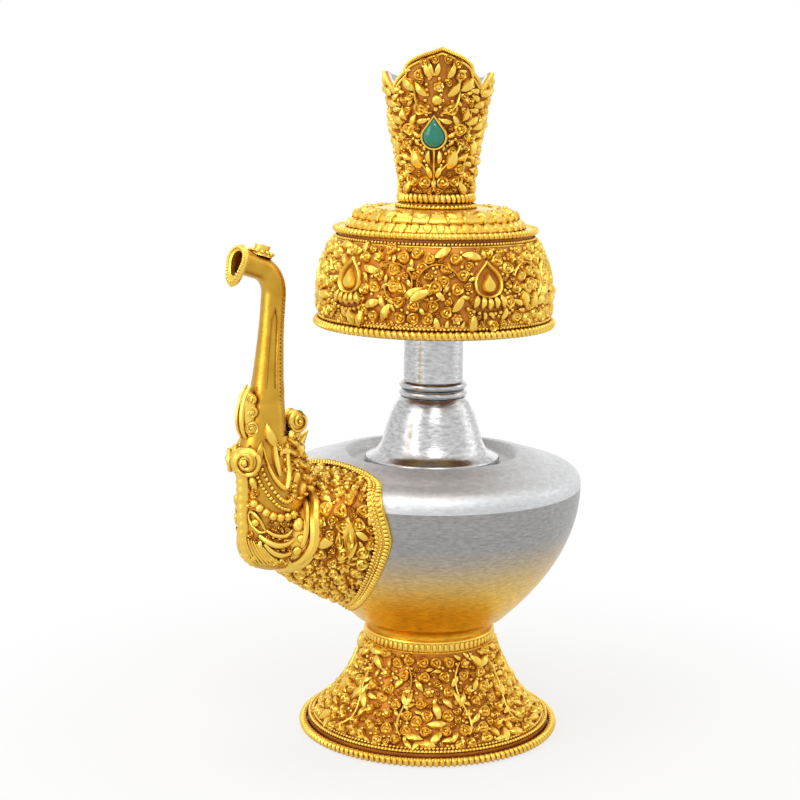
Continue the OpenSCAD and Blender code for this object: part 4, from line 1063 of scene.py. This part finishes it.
tiers = {"bore": 9.45, "lowPetals": 44, "highPetals": 14,
         "low": ((30.6, 179.0), (30.8, 179.6), (30.0, 180.6), (28.6, 181.6), (27.9, 182.0)),
         "high": ((28.2, 182.0), (28.4, 182.7), (27.6, 183.7), (24.6, 184.7), (20.5, 185.4), (15.2, 185.7))}
bm = bmesh.new()
lathe(bm, [(tiers["bore"], 179.0), *tiers["low"], (tiers["bore"], 182.0)], 104, closed=True)
lowSurface, lowLength = latheSurface(tiers["low"])
for k in range(tiers["lowPetals"]):
    u = 2 * pi * (k + 0.5) / tiers["lowPetals"]
    stamp(bm, leafShape(4.6, 3.9, 0.9), placer(lowSurface, u, lowLength, pi, 0.05))
piece("lotusTierLower", bm, gold, "hood", ["lotus_tier_lower"])

bm = bmesh.new()
lathe(bm, [(tiers["bore"], 182.0), *tiers["high"], (tiers["bore"], 185.7)], 104, closed=True)
highSurface = latheSurface(tiers["high"])[0]
for k in range(tiers["highPetals"]):
    u = 2 * pi * k / tiers["highPetals"]
    stamp(bm, flowerShape(3.1, 1.2, 4), placer(highSurface, u, 5.2, 0.8, 0.15))
    stamp(bm, leafShape(7.0, 6.4, 1.1), placer(highSurface, u + pi / tiers["highPetals"], 9.0, pi, 0.05))
    for side in (-1, 1):
        leaf = leafShape(3.4, 1.7, 0.9, 0.3 * side)
        stamp(bm, leaf, placer(highSurface, u + 0.1 * side, 3.4, pi + 0.5 * side, 0.2))
piece("lotusTierUpper", bm, gold, "hood", ["lotus_tier_upper"])

rope("crownSeatRope", "crown_seat_rope", "hood", {
    "rows": ((54, 13.4, 186.5, (0.85, 0.74, 0.85), 0),), "core": (13.3, 186.3, (0.5, 0.5))})
print("hood built")


# crown

crown = {"foot": 11.7, "tip": 18.2, "z": 191.2, "rise": 40.0, "front": math.radians(-134), "skew": 8.5,
         "seed": 41, "leafHalf": 57, "leafReach": 17.35,
         "rim": (33.6, 40.4, 38.5, 41.0), "rimAt": (0.27, 0.58)}
slope = (crown["tip"] - crown["foot"]) / crown["rise"]
front = crown["front"]


def crownRadius(h):
    return crown["foot"] + slope * h


frontEdge = bez((14.5, 33.6), (14.7, 37.0), (12.5, 38.7), (10.5, 41.1), 10)  # half of the tall leaf's rim
frontEdge += bez((10.5, 41.1), (11.0, 44.6), (4.4, 46.5), (0, 48.4), 14)[1:]


def crownTop(a):  # height of the rim at an angle from the front
    a = (a + pi) % (2 * pi) - pi
    half = math.radians(crown["leafHalf"])
    notch, side, dip, back = crown["rim"]
    sideAt, dipAt = crown["rimAt"]
    a = abs(a - math.radians(crown["skew"]) * max(0, 1 - abs(a) / (1.6 * half)))
    if a <= half:
        x = crown["leafReach"] * math.sin(a)
        for (x0, h0), (x1, h1) in zip(frontEdge, frontEdge[1:]):
            if min(x0, x1) <= x <= max(x0, x1):
                return lerp(h0, h1, (x - x0) / (x1 - x0 or 1))
        return notch
    t = (a - half) / (pi - half)
    if t < sideAt:
        return lerp(notch, side, math.sin(t / sideAt * pi / 2))
    if t < dipAt:
        return lerp(side, dip, (t - sideAt) / (dipAt - sideAt))
    return lerp(dip, back, math.sin((t - dipAt) / (1 - dipAt) * pi / 2))


def crownSurface(u, v, back=0.0):
    r = crownRadius(v) - back
    return Vector((r * math.cos(u), r * math.sin(u), crown["z"] + v))


def crownShell(bm, back, thick, drop, low):
    turns = [2 * pi * i / 180 for i in range(180)]
    outer, inner = [], []
    for share in (0, 0.2, 0.4, 0.6, 0.8, 0.92, 1.0):
        ring = [(front + a, lerp(low, crownTop(a) - drop, share)) for a in turns]
        outer.append([bm.verts.new(crownSurface(u, h, back)) for u, h in ring])
        inner.append([bm.verts.new(crownSurface(u, h, back + thick)) for u, h in ring])
    joinRings(bm, outer + inner[::-1] + outer[:1])


bm = bmesh.new()
crownShell(bm, 0.0, 1.1, 0.0, 0.0)
piece("crownCup", bm, shadedBacking, "crown", ["crown_cup"])
bm = bmesh.new()
crownShell(bm, 1.15, 0.7, 0.3, 1.2)
piece("crownLining", bm, dullSilver, "crown", ["crown_lining"])

bm = bmesh.new()
rnd = random.Random(crown["seed"])


def aside(h):  # the tall leaf leans towards its tip
    return 2.4 * min(1, max(0, (h - 24) / 20))


def onFront(shape, x, h, turn=0.0, lift=0.0, mirror=True):
    for side in ((-1, 1) if mirror else (1,)):
        place = placer(crownSurface, front + (side * x + aside(h)) / crownRadius(h), h, side * turn, lift)
        stamp(bm, ([(side * px, py, w) for px, py, w in shape[0]], shape[1]), place)


def rimWire(inset, lift, width, height, reach, steps):  # along the rim, between two turns from the front
    turns = [lerp(*reach, i / steps) for i in range(steps + 1)]
    for a, b in zip(turns, turns[1:]):
        p = crownSurface(front + a, crownTop(a) - inset)
        q = crownSurface(front + b, crownTop(b) - inset)
        out = Vector((math.cos(front + a), math.sin(front + a), -slope)).normalized()
        turn = (q - p).to_track_quat("X", "Z").to_matrix().to_4x4()
        bead(bm, (p + q) / 2 + out * lift, ((q - p).length * 0.75, width, height), turn)


rimWire(0.5, 0.2, 0.8, 0.7, (0, 2 * pi), 220)
rimWire(2.0, 0.25, 0.5, 0.55, (-0.97, 0.97), 80)
for side in (-1, 1):  # edges of the tall leaf, down to the base
    path = [(side * lerp(14.4, 9.6, i / 14), lerp(34.0, 1.0, i / 14)) for i in range(15)]
    for (x0, h0), (x1, h1) in zip(path, path[1:]):
        place0 = crownSurface(front + x0 / crownRadius(h0), h0)
        place1 = crownSurface(front + x1 / crownRadius(h1), h1)
        bead(bm, (place0 + place1) / 2, (0.6, 0.6, (place1 - place0).length * 0.62))
coils = ((5.4, 43.2, 1.9), (2.2, 44.6, 1.6), (7.0, 39.4, 2.0), (10.6, 36.6, 1.8), (9.0, 32.4, 1.7),
         (5.0, 28.2, 2.5), (8.6, 21.6, 2.2), (8.8, 17.0, 1.7), (6.2, 14.2, 1.9), (3.0, 4.0, 2.2),
         (7.0, 4.2, 2.0), (8.6, 8.4, 1.8), (9.8, 27.6, 1.6), (11.6, 31.2, 1.5))
for k, (x, h, r) in enumerate(coils):
    onFront(curl(r * 1.1, 1 if k % 2 else -1), x, h, 0.7 * k, 0.1)
leaves = ((2.6, 38.4, 5.4, 2.6, 0.6), (7.6, 34.4, 6.2, 3.4, 1.0), (3.4, 32.6, 6.0, 3.0, 0.9),
          (9.6, 24.4, 4.8, 2.2, 0.5), (4.4, 8.6, 6.6, 4.0, 0.55), (7.6, 11.6, 5.0, 2.4, 1.3),
          (1.4, 10.0, 5.0, 1.8, 0.25), (3.8, 19.0, 4.0, 1.8, 1.2))
for x, h, length, width, turn in leaves:
    onFront(leafShape(length, width * 1.25, 1.9, -0.2), x, h, -turn, 0.3)
onFront(flowerShape(2.3, 1.2, 5), 0, 35.6, 0, 0.3, False)
onFront(domeShape(1.9, 1.6, 12), 0, 31.2, 0, 0.2, False)
onFront(domeShape(1.0, 1.2), 0, 28.2, 0, 0.2, False)
onFront(wireShape([(0, -8), (0, 0), (0, 8)], 1.0, 1.1), 0, 9.0, 0, 0.2, False)
onFront(wireShape(bez((0, -5), (2, 0), (6, 1), (7, 6), 12), 0.9, 1.2), 1.2, 10.5, 0, 0.3)
onFront(wireShape(bez((0.5, -4), (4, -4.5), (7, -1), (6, 4), 12), 0.9, 1.2), 1.0, 31.0, 0, 0.3)
for k in range(9):  # arc of beads under the stone
    a = math.radians(200 + 140 * k / 8)
    onFront(domeShape(0.6, 0.9, 6), 5.3 * math.cos(a), 20.0 + 6.2 * math.sin(a), 0, 0.1, False)
blocked = [(front + x / crownRadius(h), h, r) for x, h, r in coils]
for x, h, length, width, turn in leaves:
    for s in (0.2, 0.5, 0.8):
        u = front + (x + s * length * math.sin(turn)) / crownRadius(h)
        blocked.append((u, h + s * length * math.cos(turn), width * 0.5))
middle = ((20.0, 5.2), (26.0, 1.6), (28.2, 1.2), (31.2, 2.1), (35.6, 2.3), (5.0, 0.9), (9.0, 0.9),
          (13.0, 0.9))
blocked += [(front, h, r) for h, r in middle]
ornamentField(bm, crownSurface, (front, front + pi, 0.8, 46.5), rnd, blocked=blocked, mirrorAt=front,
              sizes=((2.0, 500), (1.5, 900), (1.05, 1500), (0.7, 2200)),
              keep=lambda u, v: v < min(crownTop(u - front), crownTop(front - u)) - 2.2)
piece("crownOrnament", bm, gold, "crown", [])

base = ((8.1, 187.65), (11.0, 187.65), (11.0, 191.1), (8.1, 191.1))
turned("crownBase", base, 64, shadedBacking, "crown", "crown_base")
rope("crownRope", "crown_rope", "crown", {
    "rows": ((42, 12.35, 189.3, (1.35, 0.98, 1.85), 0.22),), "core": (11.8, 189.3, (0.9, 1.5))})

stone = {"rise": 20.5, "width": 7.5, "length": 10.2}
tilt = math.atan(slope)
stoneAt = Matrix.Translation((0, -crownRadius(stone["rise"]), crown["z"] + stone["rise"]))
stoneFrame = Matrix.Rotation(front + pi / 2, 4, "Z") @ stoneAt @ Matrix.Rotation(pi / 2 + tilt, 4, "X")


def pear(grow, count):
    belly = stone["width"] / 2
    share = (belly + grow) / belly
    reach = (stone["length"] - belly) * share
    r = belly * share
    a = math.asin(r / reach)
    pts = [(0.0, reach)]
    for i in range(count):
        t = pi - a + (pi + 2 * a) * i / (count - 1)
        pts.append((r * math.cos(t), r * math.sin(t)))
    return [(x, y + belly - stone["length"] / 2) for x, y in pts]


bm = bmesh.new()
rows = []
for grow, up in ((0.85, -0.6), (0.9, 1.0), (0.55, 1.7), (0.1, 1.6), (0.0, 0.3)):
    rows.append([bm.verts.new(stoneFrame @ Vector((x, y, up))) for x, y in pear(grow, 40)])
joinRings(bm, rows)
piece("stoneBezel", bm, gold, "crown", ["stone_bezel"])
bm = bmesh.new()
rows = []
for share, up in ((0.0, 0.5), (0.0, 1.3), (0.12, 2.15), (0.3, 2.7), (0.52, 3.0), (0.78, 3.15)):
    ring = []
    for x, y in pear(-0.05, 40):
        ring.append(bm.verts.new(stoneFrame @ Vector((x * (1 - share), (y + 0.6) * (1 - share) - 0.6, up))))
    rows.append(ring)
joinRings(bm, rows)
bm.faces.new(rows[-1])
piece("turquoiseStone", bm, turquoise, "crown", ["turquoise_stone"], sharp=70)
print("crown built")


# plain CAD parts that show as they are take the scene's finishes

finishes = {"hood_sleeve": silver, "hood_hub": shadedBacking, "crown_socket": shadedBacking, "crown_tenon": smoothGold}
for name, mat in finishes.items():
    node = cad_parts[name]
    node.data.materials.clear()
    node.data.materials.append(mat)


# floor, light and camera

def whiteRays(nodes, links):  # rays that see the backdrop as white paper
    path = addNode(nodes, "LightPath")
    seen = path.outputs["Is Camera Ray"]
    for kind in ("Is Glossy Ray", "Is Transmission Ray"):
        either = addNode(nodes, "Math")
        either.operation = "MAXIMUM"
        links.new(seen, either.inputs[0])
        links.new(path.outputs[kind], either.inputs[1])
        seen = either.outputs["Value"]
    return seen


paper = {"size": 4, "colour": (0.8, 0.79, 0.77), "rough": 0.9, "shadow": (0.06, 0.22), "white": 0.75}
bm = bmesh.new()
bmesh.ops.create_grid(bm, x_segments=1, y_segments=1, size=paper["size"])
mesh = bpy.data.meshes.new("floor")
bm.to_mesh(mesh)
bm.free()
floorObj = bpy.data.objects.new("floor", mesh)
bpy.context.scene.collection.objects.link(floorObj)
mat, nodes, links, shader = newMaterial("floorPaper")
shader.inputs["Base Color"].default_value = (*paper["colour"], 1)
shader.inputs["Roughness"].default_value = paper["rough"]
glow = addNode(nodes, "Emission", {"Color": (1, 1, 1, 1)})
whiteShare = addNode(nodes, "Math")  # near the foot the paper keeps some of its shadow
whiteShare.operation = "MULTIPLY"
links.new(whiteRays(nodes, links), whiteShare.inputs[0])
coords = addNode(nodes, "TexCoord")
reach = addNode(nodes, "VectorMath")
reach.operation = "LENGTH"
links.new(coords.outputs["Object"], reach.inputs[0])
inside, outside = paper["shadow"]
edge = addNode(nodes, "MapRange", {"From Min": inside, "From Max": outside, "To Min": paper["white"]})
edge.interpolation_type = "SMOOTHSTEP"
links.new(reach.outputs["Value"], edge.inputs["Value"])
links.new(edge.outputs["Result"], whiteShare.inputs[1])
swap = addNode(nodes, "MixShader")
links.new(whiteShare.outputs["Value"], swap.inputs[0])
links.new(shader.outputs["BSDF"], swap.inputs[1])
links.new(glow.outputs["Emission"], swap.inputs[2])
links.new(swap.outputs["Shader"], nodes["Material Output"].inputs["Surface"])
mesh.materials.append(mat)

studio = {"light": 0.42, "shown": 1.0}
world = bpy.data.worlds.new("studio")
bpy.context.scene.world = world
world.use_nodes = True
nodes = world.node_tree.nodes
links = world.node_tree.links
background = nodes["Background"]
level = addNode(nodes, "MapRange", {"To Min": studio["light"], "To Max": studio["shown"]})
links.new(whiteRays(nodes, links), level.inputs["Value"])
links.new(level.outputs["Result"], background.inputs["Strength"])
background.inputs["Color"].default_value = (1, 1, 1, 1)

lights = ({"name": "key", "at": (-0.95, 0.05, 0.50), "size": (0.5, 0.9), "power": 4.5, "to": (0, 0, 0.13)},
          {"name": "fill", "at": (0.85, -0.40, 0.40), "size": (0.4, 0.9), "power": 1.0, "to": (0, 0, 0.12)},
          {"name": "front", "at": (-0.45, -0.75, 0.95), "size": (0.35, 0.35), "power": 3, "to": (0, 0, 0.13)},
          {"name": "top", "at": (-0.10, 0.05, 1.0), "size": (0.6, 0.6), "power": 3, "to": (0, 0, 0.1)},
          {"name": "back", "at": (0.62, 0.72, 0.24), "size": (1.2, 0.46), "power": 0.9, "to": (0, 0, 0.12)})
for spec in lights:
    lamp = bpy.data.lights.new(spec["name"], "AREA")
    lamp.energy = spec["power"]
    lamp.shape = "RECTANGLE"
    lamp.size, lamp.size_y = spec["size"]
    obj = bpy.data.objects.new(spec["name"], lamp)
    obj.location = spec["at"]
    obj.rotation_euler = (Vector(spec["to"]) - Vector(spec["at"])).to_track_quat("-Z", "Y").to_euler()
    bpy.context.scene.collection.objects.link(obj)

view = {"azimuth": -40, "distance": 0.622, "height": 0.228, "pitch": 10, "roll": 0.95, "lens": 81,
        "shiftX": -0.041}
cam = bpy.data.cameras.new("camera")
cam.lens = view["lens"]
cam.sensor_width = 36
cam.shift_x = view["shiftX"]
cam.clip_start = 0.01
camObj = bpy.data.objects.new("camera", cam)
a = math.radians(view["azimuth"])
place = Matrix.Translation((view["distance"] * math.sin(a), -view["distance"] * math.cos(a), view["height"]))
aim = Matrix.Rotation(a, 4, "Z") @ Matrix.Rotation(math.radians(90 - view["pitch"]), 4, "X")
camObj.matrix_world = place @ aim @ Matrix.Rotation(math.radians(view["roll"]), 4, "Z")
bpy.context.scene.collection.objects.link(camObj)
bpy.context.scene.camera = camObj
bpy.context.scene.view_settings.view_transform = "Standard"
print("stage set")
